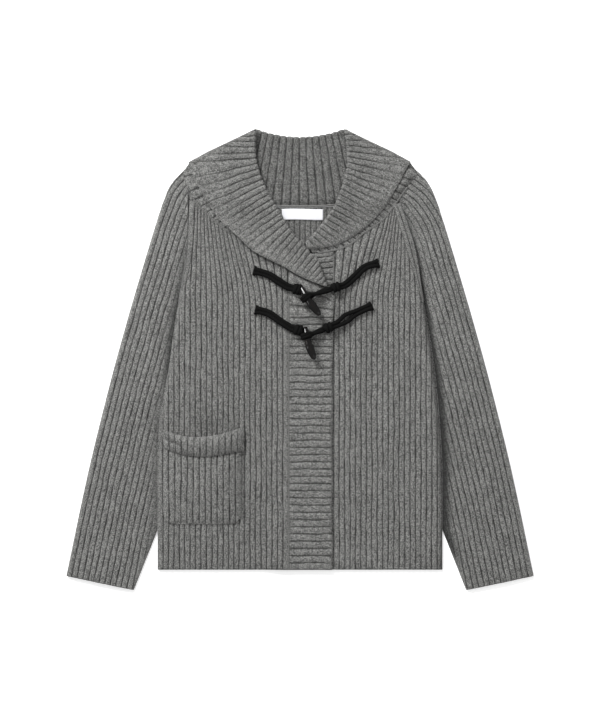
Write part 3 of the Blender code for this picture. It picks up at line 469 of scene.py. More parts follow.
class Finish(Nodes):
    """A material with one shader: what is the same all over goes in first, and `paint` sets the rest."""

    def __init__(self, name, **plain):
        self.material = bpy.data.materials.new(name)
        self.material.use_nodes = True
        super().__init__(self.material.node_tree)
        self.tree.nodes.clear()
        shader = self.add("ShaderNodeBsdfPrincipled")
        self.add("ShaderNodeOutputMaterial", Surface=shader)
        self.inputs = shader.output.node.inputs
        self.place = self.add("ShaderNodeTexCoord", output=3)
        for label, value in plain.items():
            self.inputs[label.replace("_", " ")].default_value = value

    def map(self, name):
        """A piece's own map."""
        return self.add("ShaderNodeUVMap", settings={"uv_map": name})

    def paint(self, colour, roughness, height, strength, distance):
        bump = self.add("ShaderNodeBump", Strength=strength, Distance=distance, Height=height)
        for label, value in (("Base Color", colour), ("Roughness", roughness), ("Normal", bump)):
            connect(self.tree, value, self.inputs[label])
        return self.material


def grey(value):
    return (value, value, value * 0.965, 1.0)


def shade_of(colour, *factors):
    """A colour made lighter or darker, channel by channel."""
    return (*[channel * factor for channel, factor in zip(colour, factors * (3 // len(factors)))], 1.0)


def knit_material(settings):
    """Heathered wool: columns of V stitches on each rib, painted shade in the groove between ribs, and loose
    fibres.
    """
    nodes = Finish("grey heathered rib knit", Specular_IOR_Level=0.15, Sheen_Weight=0.1, Sheen_Roughness=0.6)
    wales = 3.0                # columns of stitches on one rib
    uv = nodes.map("knit")
    across, rows = nodes.parts(uv)
    depth, tone = (nodes.add("ShaderNodeAttribute", output=2, settings={"attribute_name": name})
                   for name in ("depth", "tone"))
    # The stitches: each leg of a V is a small raised loop
    slanted = rows - (across * wales).swing() * 0.5
    legs = across * (2.0 * wales)
    loop = (1.0 - slanted.swing() ** 2.4) * (1.0 - legs.swing() ** 3.0)
    leg = nodes.add("ShaderNodeCombineXYZ", X=legs.maths("FLOOR"), Y=slanted.maths("FLOOR"))
    each = nodes.add("ShaderNodeTexWhiteNoise", settings={"noise_dimensions": "2D"}, Vector=leg)
    # The heather: fine fibres, flecks of a stitch's size and faint clumps, light against dark
    fibre = nodes.noise(nodes.place, 1500.0, 3.0, 0.7)
    fleck = nodes.noise(nodes.place, 660.0, 1.0, 0.6)
    clump = nodes.noise(nodes.place, 210.0, 2.0, 0.6)
    cloud = nodes.noise(nodes.place, 42.0)
    grain = fleck * 0.62 + clump * 0.02 + fibre * 0.22 + each * 0.14
    dark, light = grey(settings.yarn_dark), grey(settings.yarn_light)
    yarn = nodes.mix(nodes.clamp_range(grain, 0.35, 0.65), dark, light)
    pale = nodes.clamp_range(each * 0.5 + fibre * 0.5, 0.66, 0.78)
    yarn = nodes.mix(pale * 0.08, yarn, grey(settings.yarn_light * 1.8))
    # The painted shade: in the grooves, whose width varies along them, between the stitches, and each piece's
    # own painted shade, which the tone attribute brings
    stretched = nodes.add("ShaderNodeMapping", Vector=uv, Scale=(1.0, 0.09, 1.0))
    uneven = nodes.noise(stretched, 1.0, 1.0)
    groove = nodes.clamp_range(across.swing() + (uneven - 0.5) * 0.44, 0.66, 0.98)
    groove = 1.0 - groove * depth * (1.0 - settings.groove_shade)
    soft = nodes.clamp_range(cloud, 0.3, 0.7, 0.94, 1.06)
    stitch = nodes.clamp_range(loop, 0.0, 0.6, 0.66, 1.08)
    shade = soft * groove * stitch * tone
    tint = nodes.add("ShaderNodeCombineColor", Red=shade, Green=shade, Blue=shade)
    return nodes.paint(nodes.mix(1.0, yarn, tint, blend="MULTIPLY"),
                       nodes.clamp_range(fleck, 0.3, 0.7, 0.86, 1.0),
                       loop + fibre * 0.3 + fleck * 0.25, 0.8, 0.0007)


def cord_material(settings):
    """Matt black cord with a fine braid that runs round it."""
    nodes = Finish("black braided cord", Specular_IOR_Level=0.06)
    around, along = nodes.parts(nodes.map("braid"))
    plaits = around * 6.0
    plait = (plaits + along).swing().maths("MAXIMUM", (plaits - along).swing())
    fibre = nodes.noise(nodes.place, 1400.0, 3.0, 0.7)
    colour = nodes.mix(nodes.clamp_range(fibre * 0.6 + plait * 0.4, 0.35, 0.75),
                       shade_of(settings.cord_colour, 1.0), shade_of(settings.cord_colour, 2.4))
    return nodes.paint(colour, nodes.clamp_range(fibre, 0.3, 0.7, 0.72, 0.95),
                       plait * 0.8 + fibre * 0.5, 0.8, 0.0005)


def horn_material(settings):
    """Polished black horn: faint brown streaks along the bar, small scratches and a high gloss."""
    nodes = Finish("black polished horn", Specular_IOR_Level=0.22)
    stretched = nodes.add("ShaderNodeMapping", Vector=nodes.map("grain"), Scale=(9.0, 1.2, 1.0))
    streak = nodes.noise(stretched, 3.0, 4.0, 0.6)
    scratch = nodes.noise(nodes.place, 520.0, 2.0, 0.6)
    colour = nodes.mix(nodes.clamp_range(streak, 0.45, 0.75), shade_of(settings.horn_colour, 1.0),
                       shade_of(settings.horn_colour, 3.2, 2.3, 1.7))
    return nodes.paint(colour, nodes.clamp_range(scratch, 0.35, 0.7, 0.07, 0.16),
                       streak * 0.7 + scratch * 0.3, 0.12, 0.0002)


def tape_material(settings):
    """White woven label tape, with a fine warp and weft."""
    nodes = Finish("white label tape")
    warp, weft = nodes.parts(nodes.place)
    threads = abs((warp * 2600.0).maths("SINE")) * 0.5 + abs((weft * 2300.0).maths("SINE")) * 0.5
    cloud = nodes.noise(nodes.place, 160.0)
    colour = nodes.mix(nodes.clamp_range(threads * 0.7 + cloud * 0.3, 0.1, 0.7),
                       shade_of(settings.label_colour, 0.86), shade_of(settings.label_colour, 1.0))
    return nodes.paint(colour, nodes.clamp_range(cloud, 0.3, 0.7, 0.55, 0.7), threads, 0.4, 0.0002)


def thread_material(name, tone):
    nodes = Finish(name)
    fibre = nodes.noise(nodes.place, 1300.0, 2.0, 0.7)
    colour = nodes.mix(nodes.clamp_range(fibre, 0.35, 0.65), grey(tone * 0.6), grey(tone * 1.3))
    return nodes.paint(colour, nodes.clamp_range(fibre, 0.3, 0.7, 0.8, 0.95), fibre, 0.5, 0.0004)


def floor_material(settings):
    nodes = Finish("pale studio floor", Roughness=0.9, Specular_IOR_Level=0.0,
                   Emission_Color=(1.0, 1.0, 1.0, 1.0), Emission_Strength=0.35)
    grain = nodes.noise(nodes.place, 300.0)
    tone = (settings.floor_tone,) * 3
    colour = nodes.mix(nodes.clamp_range(grain, 0.3, 0.7), shade_of(tone, 1.0), shade_of(tone, 1.01))
    connect(nodes.tree, colour, nodes.inputs["Base Color"])
    return nodes.material


MATERIAL_MAKERS = {
    "knit": knit_material,
    "cord": cord_material,
    "horn": horn_material,
    "tape": tape_material,
    "seam yarn": lambda settings: thread_material("grey seam yarn", 0.15),
    "white thread": lambda settings: thread_material("white thread", 0.6),
}
MATERIALS = {}


def finish_of(name, settings):
    """Each finish is made once and shared."""
    if name not in MATERIALS:
        MATERIALS[name] = MATERIAL_MAKERS[name](settings)
    return MATERIALS[name]


# ---------------------------------------------------------------- geometry node trees
class Recipe(Nodes):
    """A geometry node tree with named sizes and a material as its inputs."""

    def __init__(self, name, *sizes):
        super().__init__(bpy.data.node_groups.new(name, "GeometryNodeTree"))
        face = self.tree.interface
        face.new_socket("Geometry", in_out="INPUT", socket_type="NodeSocketGeometry")
        kinds = {**dict.fromkeys(sizes, "NodeSocketFloat"), "Material": "NodeSocketMaterial"}
        self.sockets = {label: face.new_socket(label, in_out="INPUT", socket_type=kind).identifier
                        for label, kind in kinds.items()}
        face.new_socket("Geometry", in_out="OUTPUT", socket_type="NodeSocketGeometry")
        start = self.tree.nodes.new("NodeGroupInput")
        self.given = {socket.name: Socket(self.tree, socket) for socket in start.outputs if socket.name}

    def attribute(self, name, kind="FLOAT"):
        return self.add("GeometryNodeInputNamedAttribute", settings={"data_type": kind}, Name=name)

    def keep(self, geometry, name, value, kind="FLOAT", domain="POINT"):
        return self.add("GeometryNodeStoreNamedAttribute", settings={"data_type": kind, "domain": domain},
                        Geometry=geometry, Name=name, Value=value)

    def close(self, geometry, merge=None):
        """Merge what touches, realise the instances and give the material."""
        if merge:
            geometry = self.add("GeometryNodeMergeByDistance", Geometry=geometry, Distance=merge)
        real = self.add("GeometryNodeRealizeInstances", Geometry=geometry)
        painted = self.add("GeometryNodeSetMaterial", Geometry=real, Material=self.given["Material"])
        self.add("NodeGroupOutput", Geometry=painted)
        return self


@functools.cache
def ribs_recipe():
    """Lifts each point of a smooth wall by the rib's profile at its place, and closes the wall's seams."""
    nodes = Recipe("Raise the ribs", "Rib height", "Groove sharpness")
    profile = 1.0 - nodes.attribute("rib").swing() ** nodes.given["Groove sharpness"]
    tall = profile * nodes.given["Rib height"] * nodes.attribute("lift")
    offset = nodes.add("ShaderNodeVectorMath", settings={"operation": "SCALE"}, Scale=tall,
                       Vector=nodes.attribute("out", "FLOAT_VECTOR"))
    moved = nodes.add("GeometryNodeSetPosition", Geometry=nodes.given["Geometry"], Offset=offset)
    return nodes.close(moved, merge=0.00002)


@functools.cache
def stitches_recipe():
    """Lays one small rounded stitch after another along a path, each slanted by the same angle."""
    nodes = Recipe("Row of stitches", "Spacing", "Stitch length", "Thickness", "Slant")
    curve = nodes.add("GeometryNodeMeshToCurve", Mesh=nodes.given["Geometry"])
    points = nodes.add("GeometryNodeResampleCurve", settings={"mode": "LENGTH"}, Curve=curve,
                       Length=nodes.given["Spacing"])
    ahead = nodes.add("GeometryNodeInputTangent")
    turned = nodes.add("FunctionNodeAlignRotationToVector", settings={"axis": "X"}, Vector=ahead)
    slant = nodes.add("ShaderNodeCombineXYZ", Z=nodes.given["Slant"])
    angle = nodes.add("FunctionNodeEulerToRotation", Euler=slant)
    rotation = nodes.add("FunctionNodeRotateRotation", settings={"rotation_space": "LOCAL"},
                         Rotation=turned, Rotate_By=angle)
    bead = nodes.add("GeometryNodeMeshUVSphere", Segments=8, Rings=5, Radius=0.5)
    thick = nodes.given["Thickness"]
    size = nodes.add("ShaderNodeCombineXYZ", X=nodes.given["Stitch length"], Y=thick, Z=thick)
    placed = nodes.add("GeometryNodeInstanceOnPoints", Points=points, Instance=bead, Rotation=rotation,
                       Scale=size)
    return nodes.close(placed)


@functools.cache
def strand_recipe():
    """Sweeps a round strand along a path; the braid's map runs along and around it."""
    nodes = Recipe("Sweep a strand", "Radius", "Braid length")
    curve = nodes.add("GeometryNodeMeshToCurve", Mesh=nodes.given["Geometry"])
    along = nodes.add("GeometryNodeSplineParameter", output=1)
    marked = nodes.keep(curve, "along", along / nodes.given["Braid length"])
    sized = nodes.add("GeometryNodeSetCurveRadius", Curve=marked, Radius=nodes.attribute("thick"))
    ring = nodes.add("GeometryNodeCurvePrimitiveCircle", Resolution=14, Radius=nodes.given["Radius"])
    ring = nodes.keep(ring, "around", nodes.add("GeometryNodeSplineParameter"))
    swept = nodes.add("GeometryNodeCurveToMesh", Curve=sized, Profile_Curve=ring, Fill_Caps=True)
    pair = nodes.add("ShaderNodeCombineXYZ", X=nodes.attribute("around"), Y=nodes.attribute("along"))
    mapped = nodes.keep(swept, "braid", pair, "FLOAT2", "CORNER")
    return nodes.close(mapped, merge=0.00001)


def through(recipe, source, material, **sizes):
    """Run a mesh through a node tree, so that the object holds the result as a plain mesh."""
    modifier = source.modifiers.new(recipe.tree.name, "NODES")
    modifier.node_group = recipe.tree
    for label, value in {**sizes, "Material": material}.items():
        modifier[recipe.sockets[label.replace("_", " ")]] = value
    evaluated = source.evaluated_get(bpy.context.evaluated_depsgraph_get())
    made = bpy.data.meshes.new_from_object(evaluated)
    old = source.data
    source.modifiers.clear()
    source.data = made
    bpy.data.meshes.remove(old)
    made.name = source.name
    return source


# ---------------------------------------------------------------- walls
def new_object(name, data):
    made = bpy.data.objects.new(name, data)
    bpy.context.scene.collection.objects.link(made)
    return made


def rib_columns(start, end, pitch, zero=None):
    """Places across the ribs, dense at the grooves, which lie at zero + n pitch."""
    zero = start if zero is None else zero
    first = math.floor((start - zero) / pitch) - 1
    last = math.ceil((end - zero) / pitch) + 1
    inner = [zero + (n + share) * pitch for n in range(first, last) for share in CREST_STEPS]
    near = 0.03 * pitch
    return np.array([start, *[p for p in inner if start + near < p < end - near], end])


def rows_for(length, spacing):
    """Shares along a column: close at both ends, where the cloth's edge rounds, and even between."""
    close = np.array([0.0, 0.15, 0.4, 0.7]) * ROLL
    middle = np.linspace(ROLL, length - ROLL, max(2, round((length - 2 * ROLL) / spacing)))
    return np.concatenate([close, middle, length - close[::-1]]) / length


def wall(name, outer, inner, rib, lift, rows, settings, ring=False, out=(0.0, 0.0, 1.0), rib_scale=1.0,
         tone=1.0, groove=1.0, finish="knit"):
    """A closed wall of cloth from two skins, arrays of (columns, rows, xyz) in millimetres.

    rib is the place across the ribs in ribs, lift the share of the rib's height, rows the place along
    the rib in knitted rows and out the way outwards, all for each point of the outer skin; tone is a factor
    on the yarn's colour, with which most pieces paint shade where it falls, and groove how dark the painted
    shade in the grooves is. A ring closes on itself across its columns.
    """
    wide, high = outer.shape[:2]
    count = wide * high
    index = np.arange(count).reshape(wide, high)

    def quads(a, b, c, d):
        return np.stack([a, b, c, d], axis=-1).reshape(-1, 4)

    def both(above, below):
        """A value for each point of the outer and then of the inner skin."""
        plain = np.zeros((wide, high))
        return np.concatenate([(plain + above).ravel(), (plain + below).ravel()])

    def mark(label, kind, slot, values):
        mesh.attributes.new(label, kind, "POINT").data.foreach_set(slot, values.ravel().astype(np.float32))

    skin = quads(index[:-1, :-1], index[1:, :-1], index[1:, 1:], index[:-1, 1:])
    rims = [index[:, 0], index[:, -1]] + ([] if ring else [index[0], index[-1]])
    faces = [skin, skin[:, ::-1] + count]
    faces += [quads(rim[:-1], rim[1:], rim[1:] + count, rim[:-1] + count) for rim in rims]
    points = np.concatenate([outer.reshape(-1, 3), inner.reshape(-1, 3)]) * MM
    mesh = bpy.data.meshes.new(name)
    mesh.from_pydata(points.tolist(), [], np.concatenate(faces).tolist())
    push = np.zeros((2, wide, high, 3))
    push[0] = out
    mark("rib", "FLOAT", "value", both(rib, rib))
    mark("tone", "FLOAT", "value", both(tone, tone))
    mark("lift", "FLOAT", "value", both(lift, 0.0))
    mark("depth", "FLOAT", "value", groove * both(lift, 0.9))
    mark("out", "FLOAT_VECTOR", "vector", push * MM)
    corners = np.empty(len(mesh.loops), int)
    mesh.loops.foreach_get("vertex_index", corners)
    pair = np.stack([both(rib, rib), both(rows, rows)], axis=-1)[corners]
    mesh.uv_layers.new(name="knit").data.foreach_set("uv", pair.ravel().astype(np.float32))
    return tidy(through(ribs_recipe(), new_object(name, mesh), finish_of(finish, settings),
                        Rib_height=settings.rib_height * rib_scale,
                        Groove_sharpness=settings.groove_sharpness))


def rows_along(skin, start):
    """The knitted rows along each column of a skin, counted from its row of points `start`."""
    steps = np.linalg.norm(np.diff(skin, axis=1), axis=-1)
    along = np.concatenate([np.zeros((len(skin), 1)), np.cumsum(steps, axis=1)], axis=1)
    return (along - along[:, start:start + 1]) / ROW_HEIGHT


def tidy(made):
    """Point the faces outwards, drop what only the node trees read and shade the surface smooth."""
    mesh = bmesh.new()
    mesh.from_mesh(made.data)
    bmesh.ops.recalc_face_normals(mesh, faces=mesh.faces)
    mesh.to_mesh(made.data)
    mesh.free()
    for name in ("lift", "out", "rib", "thick", "along", "around"):
        if name in made.data.attributes:
            made.data.attributes.remove(made.data.attributes[name])
    made.data.shade_smooth()
    return made


def trim(made, slot, *nodes):
    """Ride a finished piece on the body; it stands for the solids `nodes`, where there are any."""
    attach(made, BODY)
    if nodes:
        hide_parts(*nodes)
    return made


def cloth(made, node, flat, area=None, slot="grey_rib_knit"):
    """Ride a finished piece of cloth on the body; it stands for its solid, which is hidden where there is
    one.
    """
    trim(made, slot, *([node] if node else []))
    return made


def hemmed_cloth(made, node, width, tops):
    """Ride a piece that runs from the hem up to `tops` on the body, as cloth."""
    width = width * MM
    return cloth(made, node, (width, (np.max(tops) - HEM_Y) * MM),
                 area=width * (np.mean(tops) - HEM_Y) * MM)


# ---------------------------------------------------------------- body
def front_x(side, band_x, place, y):
    """Where the rib that is at `place` across the bust lies at the height y."""
    inset = np.abs(band_x) * (1 if side * band_x > 0 else -1)
    width = side_edge(side, BUST_Y) - inset
    share = np.clip(side * (place - band_x) / width, 0.0, 1.0)
    above = np.maximum(y - BUST_Y, 0.0)
    return place + side * column(RIB_LEAN, share) * (above - LEAN_START * (1 - np.exp(-above / LEAN_START)))


def tops_of(inside, places, low=HEM_Y, high=304.0, step=3.0):
    """For each rib, the height at which it first leaves the piece when it is followed up from the hem."""
    steps = np.arange(low, high, step)
    kept = inside(places[:, None], steps)
    first_out = np.where(kept.all(axis=1), len(steps) - 1, np.argmin(kept, axis=1))
    last = steps[np.maximum(first_out - 1, 0)]
    return closing(lambda y: inside(places, y), last, last + step, 14)[0]


def front_painted_shade(side, x, y, from_side):
    """Painted shade on a front's yarn: darker above and beside the pocket, under the collar and at the side,
    where shade falls; the left front is a little lighter elsewhere.
    """
    if side > 0:
        return 1.045 - 0.72 * hump(from_side, 0.0, 5.8) * ease(225.0, 120.0, y)
    over_pocket = hump(x, -142.0, 30.0) * hump(y, -106.0, 20.0)
    beside_pocket = hump(x, POCKET_RIGHT + 1.0, 3.5) * ease(-258.0, -245.0, y) * ease(-140.0, -150.0, y)
    under_collar = ease(17.0, 2.0, Line(EDGE_RIGHT).y_at(x) - y) * ease(-135.0, -90.0, x)
    return 1.0 - 0.21 * over_pocket - 0.3 * beside_pocket - 0.2 * under_collar


def make_front(name, side, band_x, neckline, settings):
    """One front: ribs upright to the bust, then fanning to the shoulder, cut by the armhole and neck."""
    neck = Line(neckline)

    def inside(place, y):
        x = front_x(side, band_x, place, y)
        return (side * x < seam_edge(side, y)) & (y < neck.y_at(x) - 0.5 * SEAM)

    outermost = side * hem_end(side)
    places = rib_columns(*sorted((band_x + side * GAP / 2, outermost)), BODY_PITCH, band_x)
    place = places[:, None]
    rib = (place - band_x) / BODY_PITCH
    tops = tops_of(inside, places)
    y = between(tops, HEM_Y, rows_for(FRONT_LENGTH, settings.row_spacing))
    x = front_x(side, band_x, place, y)
    from_side = seam_edge(side, y) - side * x
    hold = ease(2.0, 20.0, from_side) * ease(1.0, 14.0, side * (x - band_x))
    x = x + sway(settings, x, y, rib, y) * hold
    high = ease(20.0, 90.0, y) * ease(250.0, 220.0, y) * (side > 0)
    edge = ease(0.0, 9.0 - 5.5 * high, from_side)
    hem = hem_roll(y)
    low = (front_height(x) if side < 0 else FRONT_Z) + lay(x, y) + 1.6 * high * hump(from_side, 6.0, 9.0)
    thick = BODY_THICK * (0.45 + 0.55 * edge) * (0.55 + 0.45 * hem)
    lift = (0.25 + 0.75 * edge) * (0.7 + 0.3 * hem)
    made = wall(f"{name}_knit", *layers(x, y, low + thick, low), rib, lift, y / ROW_HEIGHT, settings,
                tone=front_painted_shade(side, x, y, from_side))
    return hemmed_cloth(made, name, abs(outermost - band_x), tops)


def make_back(settings):
    """The back: ribs inside where the open neck shows them, and ribs all over its underside."""
    neck = Line(BACK_NECK)

    def side_at(x, y):
        return np.where(x < 0, side_edge(-1, y), side_edge(1, y))

    def inside(x, y):
        return (np.abs(x) < side_at(x, y)) & (y < neck.y_at(x) - SEAM)

    places = rib_columns(-hem_end(-1), hem_end(1), BODY_PITCH, 0.0)
    tops = tops_of(inside, places)
    y = between(tops, HEM_Y, rows_for(560.0, 7.0))
    x = places[:, None]
    rib = x / BODY_PITCH
    edge = ease(0.0, 7.0, side_at(x, y) - np.abs(x))
    seen = ease(62.0, 55.0, np.abs(x)) * ease(150.0, 160.0, y)
    under = 0.8 * (1 - crest(rib)) * edge + 0.7 * (1 - edge) + 0.6 * (1 - hem_roll(y))
    skins = layers(x, y, WALL * (0.6 + 0.4 * edge) - SINK * seen, under)
    # The back inside the open neck is painted darker: painted shade of the recess
    made = wall("back_knit", *skins, rib, seen * 0.8, y / ROW_HEIGHT, settings, tone=1 - 0.15 * seen)
    return hemmed_cloth(made, "back", places[-1] - places[0], tops)


def make_band_right(settings):
    """The upper front band, with its ribs across and a knitted edge along its seam."""
    neck = Line(NECKLINE_RIGHT)
    place = rib_columns(HEM_Y, BAND_RIGHT_TOP, BAND_PITCH)[:, None]
    rib = (place - HEM_Y) / BAND_PITCH
    right = column(BAND_RIGHT_EDGE, place)
    left = BAND_RIGHT_INNER + GAP / 2
    across = [0.0, 0.015, 0.04, *np.linspace(0.08, 0.93, 20), 0.95, 0.97, 0.985, 0.995, 1.0]
    x = left + (right - left) * np.array(across)
    y = place + ease(68.0, BAND_RIGHT_TOP, place) * (neck.y_at(x) - 0.5 * SEAM - BAND_RIGHT_TOP)
    aside = sway(settings, x * 1.6, y, rib, x, 2.0, 2.0)
    y = y + 0.8 * aside * ease(0.0, 9.0, y - HEM_Y) * ease(90.0, 70.0, y)
    from_edge = right - x
    from_seam = x - left
    x = x + 0.7 * np.sin(y / 17.0) * ease(20.0, 0.0, from_edge) * ease(0.0, 20.0, y - HEM_Y)
    roll = ease(0.0, ROLL, from_edge)
    hem = hem_roll(y)
    low = BAND_Z + lay(x, y) + 1.1 * hump(from_edge, 2.0, 8.0)
    thick = BODY_THICK * (0.4 + 0.6 * roll) * (0.55 + 0.45 * hem)
    lift = (0.2 + 0.8 * roll) * ease(0.0, 4.0, from_seam) * (0.7 + 0.3 * hem)
    made = wall("band_right_knit", *layers(x, y, low + thick, low), rib, lift, x / ROW_HEIGHT, settings,
                rib_scale=0.95, groove=0.8)
    return cloth(made, "band_right", (0.070, 0.455))


def make_band_left(settings):
    """The lower front band: it shows between the collar's ends, and is plain under the upper band."""
    neck = Line(NECKLINE_LEFT)
    top, start = BAND_LEFT_TOP, BAND_LEFT_RIBS_Y
    pitch = BAND_PITCH * 0.72
    plain = np.linspace(HEM_Y, start, 24)[:-1]
    place = np.concatenate([plain, rib_columns(start, top, pitch, top)])[:, None]
    across = np.concatenate([[0.0, 0.03], np.linspace(0.08, 0.95, 14), [0.98, 1.0]])
    x = BAND_LEFT_EDGE + (BAND_LEFT_SEAM - GAP / 2 - BAND_LEFT_EDGE) * across
    y = place + ease(100.0, top, place) * (neck.y_at(np.maximum(x, neck.points[0, 0])) - 0.5 * SEAM - top)
    low = FRONT_Z + lay(x, y)
    lift = ease(start, start + 8.0, place) * ease(0.0, 3.0, BAND_LEFT_SEAM - x)
    made = wall("band_left_knit", *layers(x, y, low + WALL - SINK, low), (place - top) / pitch, lift,
                x / ROW_HEIGHT, settings, rib_scale=0.8)
    return cloth(made, "band_left", (0.058, 0.505))


# ---------------------------------------------------------------- sleeves
def make_sleeve(name, side, settings):
    """A sleeve laid flat: a tube open at the armhole and the cuff, with ribs all round it."""
    fold = Line(SLEEVE_FOLD)
    half = WALL + GAP / 2
    neck_x, neck_y = np.abs((NECKLINE_RIGHT if side < 0 else NECKLINE_LEFT)[-4:]).T
    turn_over, dip, dark_wide, dark_top, darkness, dark_spread, dark_fade = SLEEVE_SIDES[side]

    def place_at(offset, along):
        """The place that lies `offset` inside the outer fold, at a length along it."""
        behind, before = (fold.at(np.clip((along + step) / fold.length, 0, 1)) for step in (-1.0, 1.0))
        forward = unit(before - behind)
        at = fold.at(along / fold.length)
        return at[..., 0] + forward[..., 1] * offset, at[..., 1] - forward[..., 0] * offset

    def inner_limit(y):
        """Distance from the centre line of the sleeve's inner fold or armhole."""
        released = np.maximum(SLEEVE_RELEASE_Y - y, 0.0)
        tucked = 9.0 * ease(268.0, 290.0, y)
        beside_neck = np.where(y > neck_y[0], np.interp(y, neck_y, neck_x), 0.0) - tucked
        limit = np.maximum(seam_edge(side, np.maximum(y, HEM_Y)), beside_neck)
        return np.minimum(limit, hem_end(side)) + 0.2 * SEAM + released * SLEEVE_RELEASE_LEAN

    def beside_body(offset):
        x, y = place_at(offset, down)
        return x > inner_limit(y)

    down = np.linspace(0.0, fold.length, 240)
    near_fold = closing(beside_body, 20.0, 180.0, 20)[0]
    widths = near_fold + 60.0 * ease(UNDERARM_Y - 25.0, UNDERARM_Y + 25.0, place_at(near_fold, down)[1])
    widest = np.max(near_fold[down > 300.0])

    def width_at(along):
        return np.interp(along, down, widths)

    def round_the_sleeve(place, along):
        """How far a rib has gone from the outer fold, less than 0 on the face below."""
        return np.mod(place + turn_over * ease(125.0, 0.0, along) + widest, 2 * widest) - widest

    def hidden(place, along):
        x, y = place_at(np.abs(round_the_sleeve(place, along)), along)
        return x < inner_limit(np.maximum(y, SLEEVE_RELEASE_Y))

    def starts_of(places, step=3.0):
        """Where each rib leaves the armhole, as a length along the outer fold."""
        steps = np.arange(0.0, fold.length, step)
        under = hidden(places[:, None], steps[None, :])
        last = np.where(under.any(axis=1), len(steps) - 1 - np.argmax(under[:, ::-1], axis=1), -1)
        cut = np.where(last >= 0, steps[np.maximum(last, 0)], 0.0)
        clear = closing(lambda along: hidden(places, along), cut, cut + step, 12)[1]
        return np.where(last >= 0, np.minimum(clear, fold.length - 1.0), 0.0)

    pitch = CUFF_WIDTH / round(CUFF_WIDTH / BODY_PITCH)
    places = rib_columns(-widest, widest, pitch, 0.0)
    shares = rows_for(700.0, settings.row_spacing)
    along = starts_of(places)[:, None]
    along = along + (fold.length - along) * shares
    rib = places[:, None] / pitch
    turned = round_the_sleeve(places[:, None], along)
    above = turned >= 0
    offset = np.minimum(np.abs(turned), width_at(along))
    cuff = ease(0.0, 3.0, (1 - shares) * fold.length)

    def skin(lining):
        """One skin: its points, the share of the ribs' height and the factor on the yarn's colour that holds
        the painted shadow in the dip.
        """
        inset = WALL * 0.8 if lining else 0.0
        x, y = place_at(np.clip(offset, inset, np.maximum(width_at(along) - inset, inset)), along)
        from_limit = x - inner_limit(y)
        from_inside = width_at(along) - offset
        from_edge = np.minimum(offset, from_inside)
        hold = ease(0.0, 18.0, offset) * ease(2.0, 22.0, from_limit) * ease(0.0, 30.0, along)
        x = x + sway(settings, x, y, rib, along, 3.0 * side, side) * hold * ease(0.0, 16.0, from_inside)
        # The cloth dips beside the body, more below the underarm, and puffs up elsewhere
        below = ease(UNDERARM_Y + 12.0, UNDERARM_Y - 30.0, y)
        deep = ease(250.0, 215.0, y) * ease(20.0, 120.0, y) * dip
        near = ease(1.0, 0.0, from_limit / (20.0 + 12.0 * deep))
        sunk = near * np.maximum((0.35 + 0.65 * below) * ease(HEM_Y - 20.0, HEM_Y + 60.0, y), deep)
        puff = SLEEVE_PUFF * np.sin(np.pi * np.clip(offset / np.minimum(width_at(along), 130.0), 0, 1))
        puff = puff * ease(0.0, 70.0, along) * (1 - sunk)
        puff = puff * (1 + 0.35 * wander(x * 0.5, y * 0.4, side * 2.0 + 1.0))
        curve = np.sqrt(np.maximum(0.0, 1 - (1 - np.clip(from_edge / (1.4 * half), 0, 1)) ** 2))
        if lining:
            under = (GAP / 2 + 0.1) * curve
            over = under + 0.85 * puff - (0.5 + 0.4 * deep) * sunk * curve
        else:
            tall = half * curve * (0.75 + 0.25 * cuff)
            under = 0.62 * tall
            over = tall - 0.4 * curve + puff - (1.7 + 0.7 * deep) * sunk * curve
        lift = curve * (0.75 + 0.25 * cuff) * ease(0.4 * half, 1.3 * half, from_edge)
        lift = lift * np.where(above, 1 - 0.75 * sunk, 0.5)
        # The shadow in the dip
        wide = dark_wide + dark_spread * ease(60.0, -100.0, y)
        dark = 0.35 * ease(dark_top + 40.0, dark_top, y) + 0.65 * ease(dark_top, dark_top - 120.0, y)
        dark = dark * above * (1 - dark_fade * ease(0.0, -70.0, y)) * ease(-345.0, -285.0, y)
        dark = dark * np.exp(-(np.maximum(from_limit, 0.0) / wide) ** 3)
        points = layers(side * x, y, half + np.where(above, over, -under))[0]
        return points, lift, 1.04 - darkness * dark

    outer, lift, tone = skin(lining=False)
    out = np.zeros(outer.shape)
    out[..., 2] = np.where(above, 1.0, -1.0)
    made = wall(f"{name}_knit", outer, skin(lining=True)[0], rib, lift, along / ROW_HEIGHT, settings,
                ring=True, out=out, tone=tone)
    return cloth(made, name, (2 * CUFF_WIDTH * MM * 0.98, 0.66))


# ---------------------------------------------------------------- collar
class Bend:
    """The turn of a folded piece, from each place on its fold towards the matching place of `target`."""

    def __init__(self, on_fold, target):
        reach = np.linalg.norm(target - on_fold, axis=1)
        self.heading = (target - on_fold) / np.maximum(reach, 1e-6)[:, None]
        self.radius = np.minimum(FOLD_R, 0.4 * reach)
        self.centre = on_fold + self.heading * self.radius[:, None]
        self.way = target - self.centre
        self.length = np.linalg.norm(self.way, axis=1)

    def turned(self, degrees, outer):
        """A skin at an angle round the turn: its place, its rise over the turn's middle, what is out."""
        flat, tall = (self.radius, FOLD_R) if outer else (np.full_like(self.radius, 0.25), FOLD_AIR / 2)
        level, rise = math.cos(math.radians(degrees)), math.sin(math.radians(degrees))
        out = np.concatenate([-self.heading * level, np.full((len(flat), 1), rise)], axis=1)
        return self.centre - self.heading * (flat * level)[:, None], tall * rise, out


def folded_skin(line, steps, outer):
    """One skin of a folded piece, from its lines along the fold: points, lift and what is outward."""
    lines = [line(part, share, outer) for part, share in steps]
    plan, z, out, lift = (np.stack([one[k] for one in lines], axis=1) for k in range(4))
    return np.concatenate([plan, z[..., None]], axis=-1), out, lift


def steps_of(**parts):
    """The stand from its seam to the fold, the turn in degrees and the fall out to its edge."""
    return [(part, share) for part, shares in parts.items() for share in shares]


